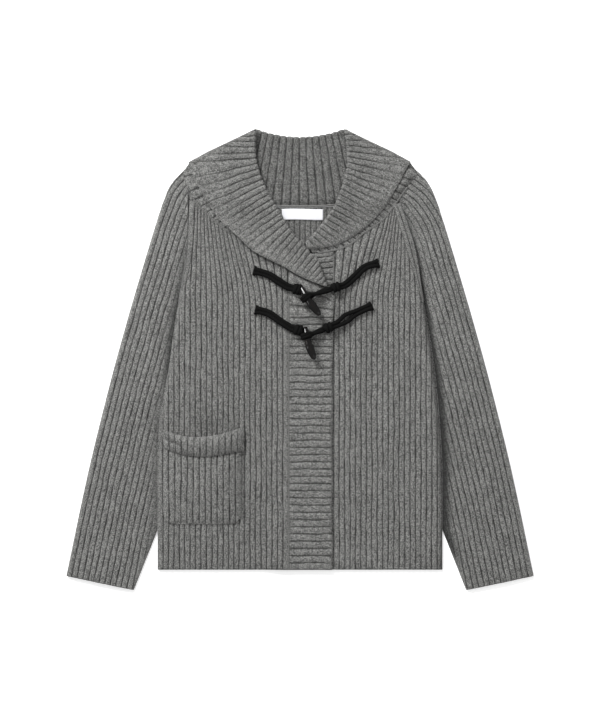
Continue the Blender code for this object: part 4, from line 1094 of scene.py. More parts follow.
def make_collar_front(name, side, tables, settings):
    """Half of the collar in front: the stand rises from the neckline seam, folds over and falls outward."""
    fold_table, edge_table, neck_table, rib_table = tables
    fold, edge = Line(fold_table), Line(edge_table)
    neck_rows = [row for row in neck_table if side * row[0] >= side * edge_table[0][0] - 6.0]
    tip, *shoulder_points = ((side * x, y) for x, y in (SHOULDER_TIP, SHOULDER_LOW, SHOULDER_CROWN,
                                                       SHOULDER_TOP))
    shoulder = Line(shoulder_points, straight=True)
    inner_shoulder = Line((neck_rows[-1], tip, shoulder.at(0.03), shoulder.at(1.0)), straight=True)
    back_neck = Line(BACK_NECK)
    places = rib_columns(1.5, fold.length - 1.0, COLLAR_PITCH, 0.0) / fold.length
    rib = places[:, None] * (fold.length / COLLAR_PITCH)
    edge_rise = 2.2 if side < 0 else 0.2
    ends = column(rib_table, places)
    on_fold = fold.at(places)

    def bend_to(first, second):
        """The bend towards the line `first`, and towards `second` where a rib ends on the shoulder."""
        beside_neck = (ends <= 1)[:, None]
        return Bend(on_fold, np.where(beside_neck, first.at(np.clip(ends, 0, 1)),
                                      second.at(np.clip(ends - 1, 0, 1))))

    inwards = bend_to(Line(neck_rows), inner_shoulder)
    outwards = bend_to(edge, shoulder)

    def stand_height(x, y):
        over_back = ease(back_neck.y_at(x) - 32, back_neck.y_at(x) - 3, y)
        low = COLLAR_LOW_Z + (COLLAR_HIGH_Z - COLLAR_LOW_Z) * over_back
        if side < 0:
            low = np.maximum(low, COLLAR_LOW_Z + (COLLAR_TIP_Z - COLLAR_LOW_Z) * ease(-78.0, -38.0, x))
        return low + lay(x, y)

    def proud(from_fold):
        """The folded edge stands up, as thick cloth does where it turns over."""
        return settings.collar_stand * np.exp(-(from_fold / 17.0) ** 2)

    def line(part, share, outer):
        if part == "fold":
            plan, rise, out = outwards.turned(share, outer)
            z = stand_height(*outwards.centre.T) + proud(0.0) + FOLD_R + rise
            return plan, z, out, np.full_like(z, 0.9 * ease(-70.0, -10.0, share))
        bend = inwards if part == "stand" else outwards
        plan = bend.centre + bend.way * share
        x, y = plan.T
        from_fold, from_end = share * bend.length, (1 - share) * bend.length
        height = stand_height(x, y)
        out = np.zeros((len(x), 3)) + (0.0, 0.0, 1.0)
        lift = np.zeros_like(x)
        if part == "stand":
            seam_z = (front_height(x) if side < 0 else FRONT_Z) + lay(x, y)
            on_seam = 1 - ease(1.0, 1.1, ends)
            z = height + (seam_z - height) * (1 - ease(0.0, 9.0, from_end)) * on_seam + proud(from_fold)
            if not outer:
                z = z + WALL - SINK
                lift = 0.8 * ease(16.0, 9.0, from_end) * (ends < 1.02)
            return plan, z, out, lift
        rim = edge_rise * hump(from_end, 0.0, 13.0) * ease(1.02, 0.95, ends)
        z = height + WALL + FOLD_AIR + proud(from_fold) + rim
        if outer:
            at_edge = ease(3.4, 0.0, from_end)
            soft = 0.5 * wander(x * 0.7, y * 0.7, 5.0 + side) * ease(0.0, 20.0, from_end)
            z = z + (WALL - SINK) * (1 - 0.5 * at_edge) + soft * ease(0.0, 12.0, from_fold)
            lift = (1 - 0.45 * at_edge) * (1 - 0.62 * ease(0.25, 0.95, share))
        return plan, z, out, lift

    steps = steps_of(
        stand=(1.0, 0.985, 0.965, 0.93, 0.88, 0.82, 0.74, 0.6, 0.4, 0.2, 0.0),
        fold=(-60.0, -30.0, 0.0, 30.0, 60.0, 90.0),
        fall=(0.02, 0.06, 0.12, 0.19, 0.27, 0.35, 0.43, 0.51, 0.59, 0.67, 0.75, 0.82, 0.88, 0.93, 0.965,
              0.985, 0.995, 1.0))
    highest = [part for part, _ in steps].index("fold") + 3
    fallen = np.array([share if part == "fall" else 0.0 for part, share in steps])
    hold = ease(0.0, 0.3, fallen) * ease(1.0, 0.8, fallen)

    def drifted(points):
        """Lets the ribs drift along the fold's direction, but holds the collar's rims."""
        aside = 0.9 * settings.wander * wander(points[..., 0], points[..., 1], 7.0 + side)
        aside = aside + settings.stray * stray(rib, 120.0 * fallen, side)
        points[..., :2] += (aside * hold)[..., None] * headings(on_fold)[:, None]
        return points

    outer, out, lift = folded_skin(line, steps, True)
    inner, _, inner_lift = folded_skin(line, steps, False)
    inner[..., 2] += 1.7 * RIB * crest(rib) * inner_lift
    outer, inner = drifted(outer), drifted(inner)
    made = wall(f"{name}_knit", outer, inner, rib, lift, rows_along(outer, highest), settings, out=out,
                tone=0.95, groove=0.86)
    return cloth(made, name, (fold.length * MM, 0.17))


def make_collar_back(settings):
    """The collar behind the neck: the ribbed stand faces up, and the fall hangs folded under it."""
    low = np.array(SHOULDER_LOW) * (-1, 1) + (1.0, -5.0)
    top = Line([low, *BACK_TOP, (-low[0], low[1])], straight=True)
    corner = (1 - Line(BACK_TOP, straight=True).length / top.length) / 2
    neck_share, end_share = 0.236, 0.035
    seen_ends = (corner * top.length, (1 - corner) * top.length)
    sides = np.linspace(2.5, seen_ends[0], 9)[:-1]
    ribbed = rib_columns(*seen_ends, NECK_PITCH)
    places = np.concatenate([sides, ribbed, top.length - sides[::-1]]) / top.length
    along_seam = np.interp(places, (0, corner, 1 - corner, 1),
                           (end_share, neck_share, 1 - neck_share, 1 - end_share))
    bend = Bend(top.at(places), Line(BACK_NECK).at(along_seam))
    seen = ((places >= corner) & (places <= 1 - corner)).astype(float)
    plain = np.zeros_like(places)

    def line(part, share, outer):
        if part == "fold":
            plan, rise, out = bend.turned(share, outer)
            return plan, plain + (FOLD_R + rise), out, seen * 0.9 * ease(-60.0, 0.0, share)
        out = np.zeros((len(places), 3)) + (0.0, 0.0, 1.0)
        if part == "stand":
            ramp = np.minimum(8.0, 0.45 * bend.length)
            z = (WALL + FOLD_AIR) * ease(0.2, 1.0, (1 - share) * bend.length / ramp)
            return bend.centre + bend.way * share, z + (WALL - SINK) * outer, out, seen * outer
        limit = np.maximum(0.03, 1 - BACK_FALL_INSET / bend.length)
        return bend.centre + bend.way * (share * limit)[:, None], plain + WALL * (not outer), out, plain

    steps = steps_of(stand=(1.0, 0.985, 0.96, 0.92, 0.87, 0.8, 0.7, 0.6, 0.5, 0.4, 0.3, 0.2, 0.1, 0.0),
                     fold=(80.0, 50.0, 20.0, -15.0, -50.0, -80.0),
                     fall=(0.0, 0.25, 0.5, 0.75, 1.0))
    outer, out, lift = folded_skin(line, steps, True)
    outer[..., 0] += 0.7 * settings.wander * wander(outer[..., 0], outer[..., 1], 4.0) * seen[:, None]
    inner = folded_skin(line, steps, False)[0]
    rib = ((places - corner) * top.length / NECK_PITCH)[:, None]
    # The stand inside the neck is painted darker: painted shade of the recess between the collar's folds
    made = wall("collar_back_knit", outer, inner, rib, lift, rows_along(outer, 0), settings, out=out,
                tone=0.71, groove=0.8)
    return cloth(made, "collar_back", (0.42, 0.16))


# ---------------------------------------------------------------- pocket
def make_pocket(settings):
    """A patch pocket with a rounded lower edge."""
    pitch = (POCKET_RIGHT - POCKET_LEFT) / POCKET_RIBS
    places = rib_columns(POCKET_LEFT, POCKET_RIGHT, pitch)
    short = np.maximum(POCKET_CORNER - np.minimum(places - POCKET_LEFT, POCKET_RIGHT - places), 0.0)
    bottoms = POCKET_BOTTOM + POCKET_CORNER - np.sqrt(POCKET_CORNER ** 2 - short ** 2)
    y = between(Line(POCKET_TOP).y_at(places), bottoms, rows_for(115.0, settings.row_spacing))
    x = places[:, None]
    rib = (x - POCKET_LEFT) / pitch
    from_rim = np.minimum(np.minimum(x - POCKET_LEFT, POCKET_RIGHT - x), y - (bottoms - 0.4 * short)[:, None])
    edge = ease(0.0, 6.0, from_rim)
    x = x + sway(settings, x, y, rib, y, 6.0, 6.0) * ease(0.0, 14.0, from_rim)
    low = POCKET_Z + lay(x, y)
    bulge = 2.6 * hump(x, -150.0, 50.0) * hump(y, -205.0, 46.0) * ease(0.0, 8.0, from_rim)
    skins = layers(x, y, low + bulge + (WALL - SINK) * (0.35 + 0.65 * edge), low - 0.9 * (1 - edge))
    # The pocket darkens towards its side at larger x: painted shade on the side turned from the light
    made = wall("pocket_knit", *skins, rib, 0.3 + 0.7 * edge, y / ROW_HEIGHT, settings,
                tone=1.03 - 0.17 * ease(-135.0, -105.0, x))
    return cloth(made, "pocket", (0.1255, 0.119))


def make_pocket_cuff(settings):
    """The pocket's turned-down cuff: a soft, bulging roll over its mouth, with a small crease at its left."""
    left, right = CUFF_TOP[0][0], CUFF_TOP[-1][0]
    pitch = (right - left) / POCKET_RIBS
    places = rib_columns(left, right, pitch)
    shares = np.array([0.0, 0.02, 0.05, 0.1, 0.16, 0.24, 0.32, 0.4, 0.48, 0.56, 0.64, 0.72, 0.8, 0.86, 0.91,
                       0.95, 0.98, 1.0])
    high = Line(CUFF_TOP).y_at(places)
    y = between(high, Line(CUFF_BOTTOM).y_at(places), shares)
    x = places[:, None] + 3.0 * (shares - 0.5) * ease(left + 50.0, left, places[:, None])
    swell = np.sin(np.pi * shares) ** 0.55 * ease(0.0, 9.0, np.minimum(x - left, right - x))
    crease_line = -126.0 - 0.42 * (x + 212.0)
    crease = hump(y, crease_line, 2.6) * ease(-218.0, -211.0, x) * ease(-184.0, -193.0, x)
    low = CUFF_Z + lay(x, y)
    z = low + WALL - 1.2 + (2.0 + POCKET_CUFF_LIFT) * swell - 2.4 * crease
    lift = (0.2 + 0.8 * swell) * (1 - 0.7 * crease)
    # The cuff's yarn is darker in the crease and towards its end at larger x: painted shade
    made = wall("pocket_cuff_knit", *layers(x, y, z, low), (places[:, None] - left) / pitch, lift,
                (y - high[:, None]) / ROW_HEIGHT, settings, rib_scale=0.8,
                tone=1 - 0.5 * crease - 0.16 * ease(-145.0, -115.0, x))
    return cloth(made, "pocket_cuff", (0.1295, 0.036))


# ---------------------------------------------------------------- label and seams
def path_object(name, points, thick=1.0):
    """A line of points in millimetres, as a mesh of edges that a node tree follows."""
    points = np.asarray(points, float) * MM
    mesh = bpy.data.meshes.new(name)
    mesh.from_pydata(points.tolist(), [(n, n + 1) for n in range(len(points) - 1)], [])
    widths = np.zeros(len(points)) + thick
    mesh.attributes.new("thick", "FLOAT", "POINT").data.foreach_set("value", widths.astype(np.float32))
    return new_object(name, mesh)


def joined(name, pieces):
    """One object from several, with its place in its mesh."""
    with bpy.context.temp_override(active_object=pieces[0], selected_editable_objects=pieces):
        bpy.ops.object.join()
    pieces[0].name = pieces[0].data.name = name
    return tidy(pieces[0])


def stitched(name, slot, thread, paths, sizes, slants=(0.0,)):
    """Rows of stitches along several paths, in one object; the sizes are spacing, length, thickness."""
    spacing, length, thickness = (size * MM for size in sizes)
    made = [through(stitches_recipe(), path_object(f"{name}_{number}_{turn}", path), thread, Spacing=spacing,
                    Stitch_length=length, Thickness=thickness, Slant=slant)
            for number, path in enumerate(paths) for turn, slant in enumerate(slants)]
    return trim(joined(name, made), slot)


def make_label(settings):
    """The blank woven label, slightly waved, sewn down at its two short ends."""
    left, right, bottom, top = LABEL
    low = WALL + 0.8 * RIB + 0.3
    across = np.linspace(0, 1, 34)[:, None]
    x = left + (right - left) * across
    y = bottom + (top - bottom) * np.linspace(0, 1, 12) + 0.5 * np.sin(across * 5.0)
    edge = np.minimum(np.minimum(x - left, right - x), np.minimum(y - y.min(), y.max() - y))
    z = low + 0.5 * np.sin(across * 7.0) ** 2 + 0.3 * ease(0.0, 1.2, edge)
    made = wall("label_tape", *layers(x, y, z + LABEL_THICK, z), 0.0, 0.0, 0.0, settings, finish="tape")
    cloth(made, "label", ((right - left) * MM, (top - bottom) * MM), slot="white_label_tape")
    ends = [[(x, y, low + LABEL_THICK + 0.75) for y in np.linspace(bottom + 1.0, top - 1.0, 12)]
            for x in (left + 1.6, right - 1.6)]
    stitched("label_stitches", "white_label_tape", finish_of("white thread", settings), ends,
             (2.0, 1.5, 0.45))


def make_seams(settings):
    """Linked seams: chains along the neck, the upper band, the lower band and the armholes."""
    yarn = finish_of("seam yarn", settings)
    crest_z = FRONT_Z + WALL

    def chain(name, sizes, slants, *paths):
        stitched(name, "grey_rib_knit", yarn, [layers(*path)[0] for path in paths], sizes, slants)

    x = np.linspace(-66.0, 66.0, 60)
    along_neck = (x, Line(BACK_NECK).y_at(x) + 1.2, WALL + RIB + 1.0)
    chain("back_neck_chain", (2.4, 3.6, 2.9), (0.3, -0.3), along_neck)
    y = np.linspace(HEM_Y + 1.5, 116.0, 160)
    height = BAND_Z + WALL + 0.2 + lay(BAND_RIGHT_INNER, y)
    chain("band_seam_chain", (3.2, 3.7, 2.3), (0.6, -0.6), (BAND_RIGHT_INNER + 0.4, y, height))
    y = np.linspace(108.0, 166.0, 24)
    height = crest_z + 0.3 + lay(BAND_LEFT_SEAM, y)
    chain("lower_band_chain", (3.2, 3.6, 2.1), (0.6, -0.6), (BAND_LEFT_SEAM, y, height))
    armholes = []
    for side, low, high in ((-1, 96.0, 262.0), (1, 96.0, 252.0)):
        y = np.linspace(low, high, 70)
        x = side * (seam_edge(side, y) + 0.3)
        armholes.append((x, y, FRONT_Z + 0.6 + 0.9 * ease(low, low + 60.0, y) + lay(x, y)))
    chain("armhole_chain", (3.1, 3.6, 2.2), (0.5, -0.5), *armholes)
    necks = []
    for neckline, low, high in ((NECKLINE_RIGHT, -172.0, -116.0), (NECKLINE_LEFT, 30.0, 170.0)):
        x = np.linspace(low, high, 60)
        y = Line(neckline).y_at(x)
        necks.append((x, y - 0.9, crest_z + 1.2 + lay(x, y)))
    chain("neck_chain", (3.3, 3.9, 2.4), (0.9, -0.5), *necks)


def make_armhole_ribs(settings):
    """The ribs that run along each armhole, where the front is narrowed towards the neck."""
    for name, (ribs, height, route) in ARMHOLE_RIBS.items():
        middle = Line(route)
        along = rows_for(middle.length, settings.row_spacing)
        at = middle.at(along)
        ahead = headings(at)
        keys = [middle.length * n / (len(route) - 1) for n in range(len(route))]
        width = np.interp(along * middle.length, keys, [row[2] for row in route])
        across = (rib_columns(0.0, float(ribs), 1.0) / ribs - 0.5)[:, None]
        x = at[:, 0] + across * width * ahead[:, 1]
        y = at[:, 1] - across * width * ahead[:, 0]
        crown = 1 - np.abs(across * 2) ** 3
        low = FRONT_Z + WALL + height + lay(x, y)
        ends = ease(0.0, 0.05, along) * ease(1.0, 0.9, along)
        made = wall(name, *layers(x, y, low + 0.4 + 0.6 * crown, low), (across + 0.5) * ribs, ends,
                    along * middle.length / ROW_HEIGHT, settings, rib_scale=0.8)
        cloth(made, None, (max(row[2] for row in route) * MM, middle.length * MM),
              area=float(np.mean(width)) * middle.length * MM * MM)


# ---------------------------------------------------------------- cords and toggles
def crest_below(x, y):
    """Top of what a cord lies on: the right front, the upper band or the left front."""
    edge = BAND_RIGHT_EDGE[0][1] + 3.0
    over_band = BAND_Z + WALL + RIB + (FRONT_Z - BAND_Z) * ease(edge, edge + 26.0, x)
    return np.where(x < edge, front_height(x) + WALL + RIB, over_band) + lay(x, y)


def curve_through(points, count):
    """Points along a smooth curve in space through a few given ones."""
    given = np.array(points, float)
    padded = np.concatenate([[2 * given[0] - given[1]], given, [2 * given[-1] - given[-2]]])
    place = np.linspace(0, len(given) - 1, count)
    first = np.minimum(place.astype(int), len(given) - 2)
    return smooth(*(padded[first + n] for n in range(4)), (place - first)[:, None])


def strand(name, points, radius, settings, thick=1.0):
    """A braided strand along a path; thick is its width along it, as a share."""
    return through(strand_recipe(), path_object(name, points, thick), finish_of("cord", settings),
                   Radius=radius * MM, Braid_length=settings.braid_length * MM)


def make_cord(name, route, settings):
    """A doubled cord: two strands side by side, sewn flat at the outer end and tied into a knot."""
    knot_x, knot_y, wide, long = KNOTS[name]
    centre = np.array((knot_x, knot_y))
    nearest = min(range(len(route)), key=lambda n: math.dist(route[n], centre))
    line = Line([*route[:nearest], centre])
    shares = np.linspace(0.0, 1.0, 56)
    at = line.at(shares)
    ahead = headings(at)
    across = np.stack([-ahead[:, 1], ahead[:, 0]], axis=1)
    flat = 1 - ease(0.0, 0.12, shares)
    wound = ease(0.86, 1.0, shares)
    where_parted, share_parted, apart_by = PARTED.get(name, (0.5, 0.1, 0.0))
    split = apart_by * hump(shares, where_parted, share_parted)
    start = 0.6 if name.endswith("upper") else 2.2
    roll = 0.5 * np.sin(shares * line.length / 19.0 + start) * (1 - flat)
    # The two strands, which roll over each other a little
    low = crest_below(at[:, 0], at[:, 1]) + STRAND_WIDE * (0.95 - 0.2 * flat)
    pieces = []
    for turn in (-1, 1):
        apart = STRAND_WIDE * (0.80 + 0.22 * flat - 0.25 * wound) * np.cos(roll) + split
        x, y = (at + across * (apart * turn)[:, None]).T
        z = low + 1.5 * np.sin(roll) * turn + 2.0 * wound
        thick = 1 - 0.1 * flat + 0.05 * np.sin(shares * 31.0 + turn) + 0.04 * np.sin(shares * 67.0 + 2 * turn)
        pieces.append(strand(f"{name}_{turn}", layers(x, y, z)[0], STRAND_WIDE, settings, thick))
    # The knot: two windings that lean against each other
    knot_height = crest_below(knot_x, knot_y) + 5.6
    for number, (turns, lean, size) in enumerate(((1.7, 0.55, 1.0), (1.2, -0.8, 0.86))):
        angles = np.linspace(0.0, 2 * math.pi * turns, 40) + 1.3 * number
        reach = np.linspace(-0.62 * long, 0.62 * long, 40) * (1 - 2 * number)
        forward = (reach + lean * wide * 0.6 * np.cos(angles))[:, None]
        aside = (size * wide * np.cos(angles))[:, None]
        x, y = (centre + ahead[-1] * forward + across[-1] * aside).T
        z = knot_height + 3.3 * size * np.sin(angles)
        pieces.append(strand(f"{name}_knot_{number}", layers(x, y, z)[0], LOOP_RADIUS, settings))
    # The whipping that sews the outer end down
    height = crest_below(*at[0]) + 2.2
    angles = np.linspace(0.0, 2 * math.pi, 24)
    for number, inset in enumerate((0.4, 2.2)):
        x, y = (at[0] + ahead[0] * inset + across[0] * 7.0 * np.cos(angles)[:, None]).T
        ring = layers(x, y, height + 2.6 * np.sin(angles))[0]
        pieces.append(strand(f"{name}_whip_{number}", ring, 1.1, settings))
    return trim(joined(f"{name}_braid", pieces), "black_cord", name)


class Bar:
    """The line of a toggle: its start, direction along and across it, length and height."""

    def __init__(self, name):
        self.start, end = (np.array(point) for point in TOGGLES[name])
        self.length = np.linalg.norm(end - self.start)
        self.ahead = (end - self.start) / self.length
        self.across = np.array([-self.ahead[1], self.ahead[0]])
        self.height = BAND_Z + WALL + RIB + 0.6 + STRAND + TOGGLE_R + lay(*(self.start + end) / 2)

    def at(self, share):
        """The middle at a share of the length: bowed sideways, arched, and low at the upper end."""
        bow = self.across * 2.0 * math.sin(math.pi * share)
        drop = (1 - min(share / 0.42, 1.0)) ** 1.15
        return np.array([*self.start + self.ahead * self.length * share - bow,
                         self.height - 9.2 * drop - 1.5 * share])


def make_loop(name, settings):
    """The loop of the left cord: its legs leave the knot, and it goes over and under the toggle."""
    toggle, share, knot = LOOP_TIES[name]
    bar = Bar(toggle)
    middle = bar.at(share)
    body = TOGGLE_R * float(column(TOGGLE_SHAPE, share)) + 0.8 * LOOP_RADIUS
    turns = np.linspace(62.0, 660.0, 22)
    angles = np.radians(turns)[:, None]
    slide = (-3.2 + 6.4 * (turns - 62.0) / 598.0)[:, None]
    x, y = (middle[:2] + bar.across * body * np.cos(angles) + bar.ahead * slide).T
    wrap = layers(x, y, middle[2] + 0.88 * body * np.sin(angles[:, 0]))[0]
    knot_at = np.array((*KNOTS[knot][:2], crest_below(*KNOTS[knot][:2]) + 5.0))
    legs = []
    for first, offset in ((wrap[0], 2.6), (wrap[-1], -2.6)):
        leg = knot_at[:2] - first[:2]
        aside = np.array((-leg[1], leg[0])) / np.linalg.norm(leg) * -offset
        near = (*(first[:2] + 0.30 * leg + aside), 0.62 * first[2] + 0.38 * knot_at[2])
        far = (*(first[:2] + 0.72 * leg + aside), knot_at[2] - 0.5)
        legs.append((near, far))
    (near, far), (last_near, last_far) = legs
    path = [knot_at, far, near, *wrap, last_near, last_far, knot_at - (0.0, 0.0, 1.5)]
    made = strand(f"{name}_braid", curve_through(path, 180), LOOP_RADIUS, settings)
    return trim(tidy(made), "black_cord", name)


def make_toggle(name, settings):
    """A horn-shaped toggle: bowed, narrow at the end that the cord is tied to, with a blunt, rounded tip."""
    bar = Bar(name)
    shares = np.unique(np.concatenate([np.linspace(0, 1, 60), [row[0] for row in TOGGLE_SHAPE]]))
    sides = 40
    mesh = bmesh.new()
    rings = []
    for share, radius in zip(shares, TOGGLE_R * column(TOGGLE_SHAPE, shares)):
        x, y, z = bar.at(share)
        ring = []
        for step in range(sides):
            angle = 2 * math.pi * step / sides
            level, rise = math.cos(angle), math.sin(angle)
            reach = radius * (abs(level) ** 2.4 + abs(rise) ** 2.4) ** (-1 / 2.4)
            aside = reach * level
            point = (x + bar.across[0] * aside, y + bar.across[1] * aside, z + 0.86 * reach * rise)
            ring.append(mesh.verts.new([c * MM for c in point]))
        rings.append(ring)
    grain = mesh.loops.layers.uv.new("grain")
    for row, (first, second) in enumerate(zip(rings, rings[1:])):
        for step in range(sides):
            after = (step + 1) % sides
            face = mesh.faces.new((first[step], first[after], second[after], second[step]))
            places = ((step, row), (step + 1, row), (step + 1, row + 1), (step, row + 1))
            for loop, (around, along) in zip(face.loops, places):
                loop[grain].uv = (around / sides, along / len(rings))
    mesh.faces.new(rings[0])
    mesh.faces.new(rings[-1])
    data = bpy.data.meshes.new(f"{name}_horn")
    mesh.to_mesh(data)
    mesh.free()
    data.materials.append(finish_of("horn", settings))
    return trim(tidy(new_object(f"{name}_horn", data)), "black_horn", name)


# ---------------------------------------------------------------- the studio
VIEW_HEIGHT = 1.152      # metres of the floor that the camera sees from top to bottom
SENSOR = 36.0
LIGHTS = (
    # name    place                size   power  lights what is matt
    ("key",   (-1.30, 2.15, 1.80), 0.85,  122.0, True),
    ("fill",  (1.6, -1.6, 2.4),    1.8,   10.0,  True),
    ("gloss", (-1.9, -0.3, 1.9),   0.5,   14.0,  False),
)


def lay_floor(settings, half=6.0):
    """A wide, pale floor."""
    mesh = bpy.data.meshes.new("floor")
    corners = [(-half, -half, 0), (half, -half, 0), (half, half, 0), (-half, half, 0)]
    mesh.from_pydata(corners, [], [(0, 1, 2, 3)])
    mesh.materials.append(floor_material(settings))
    new_object("floor", mesh)


def set_camera(scene, settings):
    """A camera straight above, whose view has the same height wherever it hangs."""
    data = bpy.data.cameras.new("camera")
    data.sensor_fit = "VERTICAL"
    data.sensor_height = SENSOR
    data.lens = SENSOR * settings.camera_height / VIEW_HEIGHT
    data.clip_end = 50.0
    scene.camera = new_object("camera", data)
    scene.camera.location = (0.0, 0.0, settings.camera_height)


def hang_lights(scene):
    """The lamps and a soft light from all round."""
    for name, place, size, power, lights_matt in LIGHTS:
        light = bpy.data.lights.new(name, "AREA")
        light.shape = "SQUARE"
        light.size = size
        light.energy = power
        lamp = new_object(name, light)
        lamp.location = place
        lamp.visible_diffuse = lights_matt
        lamp.rotation_euler = (-Vector(place)).to_track_quat("-Z", "Y").to_euler()
    scene.world = bpy.data.worlds.new("soft studio")
    scene.world.use_nodes = True
    background = scene.world.node_tree.nodes["Background"]
    background.inputs["Color"].default_value = (1.0, 1.0, 1.0, 1.0)
    background.inputs["Strength"].default_value = 0.62
    scene.view_settings.view_transform = "Standard"


# ---------------------------------------------------------------- the add-on
def size(name, description, default, low, high, **unit_of):
    return FloatProperty(name=name, description=description, default=default, min=low, max=high, **unit_of)


def colour(name, description, default):
    return FloatVectorProperty(name=name, description=description, default=default, min=0.0, max=1.0,
                               subtype="COLOR")


class CardiganSettings(bpy.types.PropertyGroup):
    """Sizes and colours that a user would change."""

    rib_height: size("Rib height", "How far a rib stands above its grooves, in millimetres", 1.75, 0.5, 3.0)
    groove_sharpness: size("Groove sharpness", "How narrow the groove between two ribs is", 3.3, 1.0, 10.0)
    # groove_shade sets the painted shade deep in a groove
    groove_shade: size("Groove shade", "Brightness of the yarn deep in a groove", 0.17, 0.0, 1.0)
    row_spacing: size("Row spacing", "Distance between the mesh's rows, in millimetres", 5.0, 2.0, 20.0)
    wander: size("Wander", "How far the ribs drift sideways, in millimetres", 1.3, 0.0, 3.0)
    stray: size("Stray", "How far each groove strays on its own, in millimetres", 0.4, 0.0, 2.0)
    collar_stand: size("Collar's fold", "How far the folded edge stands up, in millimetres", 3.0, 0.0, 6.0)
    braid_length: size("Braid length", "Length of one plait of the cord, in millimetres", 4.0, 1.0, 10.0)
    yarn_dark: size("Dark fibres", "Brightness of the yarn's dark fibres", 0.064, 0.0, 1.0)
    yarn_light: size("Light fibres", "Brightness of the yarn's light fibres", 0.267, 0.0, 1.0)
    floor_tone: size("Floor tone", "Brightness of the floor", 0.92, 0.0, 1.0)
    cord_colour: colour("Cord colour", "Colour of the cords", (0.0026, 0.0026, 0.0025))
    horn_colour: colour("Horn colour", "Colour of the toggles", (0.0035, 0.0034, 0.0034))
    label_colour: colour("Label colour", "Colour of the neck label", (0.70, 0.70, 0.73))
    camera_height: size("Camera height", "Height of the camera above the floor", 2.5, 1.0, 6.0,
                        subtype="DISTANCE", unit="LENGTH")


class CARDIGAN_OT_stage(bpy.types.Operator):
    """Lay the pale floor, hang the soft lights and set the camera straight above"""

    bl_idname = "cardigan.stage"
    bl_label = "Floor, lights and camera"

    def execute(self, context):
        lay_floor(context.scene.cardigan)
        set_camera(context.scene, context.scene.cardigan)
        hang_lights(context.scene)
        return {"FINISHED"}


class CARDIGAN_OT_back(bpy.types.Operator):
    """Make the back of the garment"""

    bl_idname = "cardigan.back"
    bl_label = "Back"

    def execute(self, context):
        make_back(context.scene.cardigan)
        return {"FINISHED"}


class CARDIGAN_OT_fronts(bpy.types.Operator):
    """Make the two fronts and the ribs along their armholes"""

    bl_idname = "cardigan.fronts"
    bl_label = "Fronts"

    def execute(self, context):
        settings = context.scene.cardigan
        make_front("front_right", -1, BAND_RIGHT_INNER, NECKLINE_RIGHT, settings)
        make_front("front_left", 1, BAND_LEFT_SEAM, NECKLINE_LEFT, settings)
        make_armhole_ribs(settings)
        return {"FINISHED"}


class CARDIGAN_OT_bands(bpy.types.Operator):
    """Make the two front bands"""

    bl_idname = "cardigan.bands"
    bl_label = "Front bands"

    def execute(self, context):
        make_band_left(context.scene.cardigan)
        make_band_right(context.scene.cardigan)
        return {"FINISHED"}


class CARDIGAN_OT_sleeves(bpy.types.Operator):
    """Make the two sleeves"""

    bl_idname = "cardigan.sleeves"
    bl_label = "Sleeves"

    def execute(self, context):
        make_sleeve("sleeve_right", -1, context.scene.cardigan)
        make_sleeve("sleeve_left", 1, context.scene.cardigan)
        return {"FINISHED"}


class CARDIGAN_OT_collar(bpy.types.Operator):
    """Make the shawl collar's two halves and its part behind the neck"""

    bl_idname = "cardigan.collar"
    bl_label = "Collar"

    def execute(self, context):
        settings = context.scene.cardigan
        right = (FOLD_RIGHT, EDGE_RIGHT, NECKLINE_RIGHT, COLLAR_RIBS_RIGHT)
        left = (FOLD_LEFT, EDGE_LEFT, NECKLINE_LEFT, COLLAR_RIBS_LEFT)
        make_collar_back(settings)
        make_collar_front("collar_right", -1, right, settings)
        make_collar_front("collar_left", 1, left, settings)
        return {"FINISHED"}


class CARDIGAN_OT_pocket(bpy.types.Operator):
    """Make the patch pocket and its turned-down cuff"""

    bl_idname = "cardigan.pocket"
    bl_label = "Pocket"

    def execute(self, context):
        make_pocket(context.scene.cardigan)
        make_pocket_cuff(context.scene.cardigan)
        return {"FINISHED"}


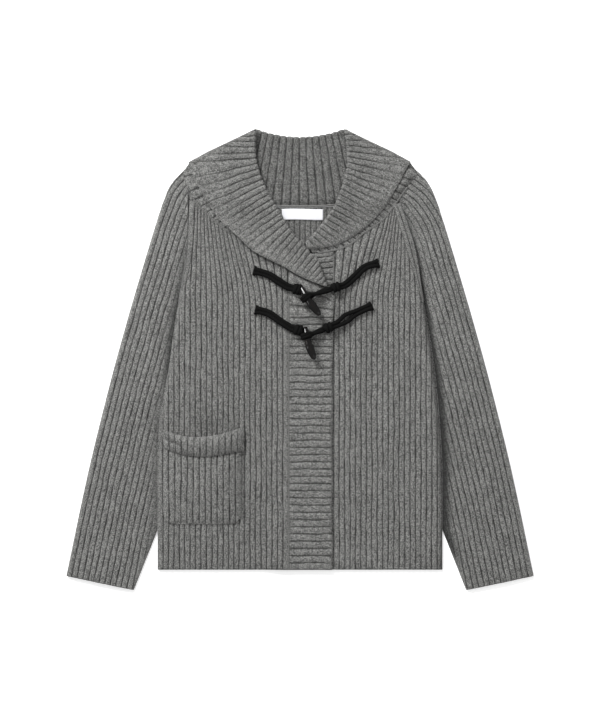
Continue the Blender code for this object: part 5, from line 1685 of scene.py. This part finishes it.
class CARDIGAN_OT_seams(bpy.types.Operator):
    """Make the linked seams and the blank label"""

    bl_idname = "cardigan.seams"
    bl_label = "Seams and label"

    def execute(self, context):
        make_seams(context.scene.cardigan)
        make_label(context.scene.cardigan)
        return {"FINISHED"}


class CARDIGAN_OT_cords(bpy.types.Operator):
    """Make the doubled cords and the loops"""

    bl_idname = "cardigan.cords"
    bl_label = "Cords and loops"

    def execute(self, context):
        for name, route in CORDS.items():
            make_cord(name, route, context.scene.cardigan)
        for name in LOOP_TIES:
            make_loop(name, context.scene.cardigan)
        return {"FINISHED"}


class CARDIGAN_OT_toggles(bpy.types.Operator):
    """Make the two horn toggles"""

    bl_idname = "cardigan.toggles"
    bl_label = "Toggles"

    def execute(self, context):
        for name in TOGGLES:
            make_toggle(name, context.scene.cardigan)
        return {"FINISHED"}


OPERATORS = (
    CARDIGAN_OT_stage,
    CARDIGAN_OT_back,
    CARDIGAN_OT_fronts,
    CARDIGAN_OT_bands,
    CARDIGAN_OT_sleeves,
    CARDIGAN_OT_collar,
    CARDIGAN_OT_pocket,
    CARDIGAN_OT_seams,
    CARDIGAN_OT_cords,
    CARDIGAN_OT_toggles,
)


class CARDIGAN_PT_panel(bpy.types.Panel):
    """Sizes, colours and the pieces, in the order in which they are made"""

    bl_idname = "CARDIGAN_PT_panel"
    bl_label = "Shawl collar cardigan"
    bl_space_type = "VIEW_3D"
    bl_region_type = "UI"
    bl_category = "Cardigan"

    def draw(self, context):
        for name in CardiganSettings.__annotations__:
            self.layout.prop(context.scene.cardigan, name)
        for operator in OPERATORS:
            self.layout.operator(operator.bl_idname)


CLASSES = (CardiganSettings, *OPERATORS, CARDIGAN_PT_panel)


def register():
    for kind in CLASSES:
        bpy.utils.register_class(kind)
    bpy.types.Scene.cardigan = PointerProperty(type=CardiganSettings)


def unregister():
    del bpy.types.Scene.cardigan
    for kind in reversed(CLASSES):
        bpy.utils.unregister_class(kind)


def main():
    register()
    for operator in OPERATORS:
        group, name = operator.bl_idname.split(".")
        getattr(getattr(bpy.ops, group), name)()


if __name__ == "__main__":
    main()
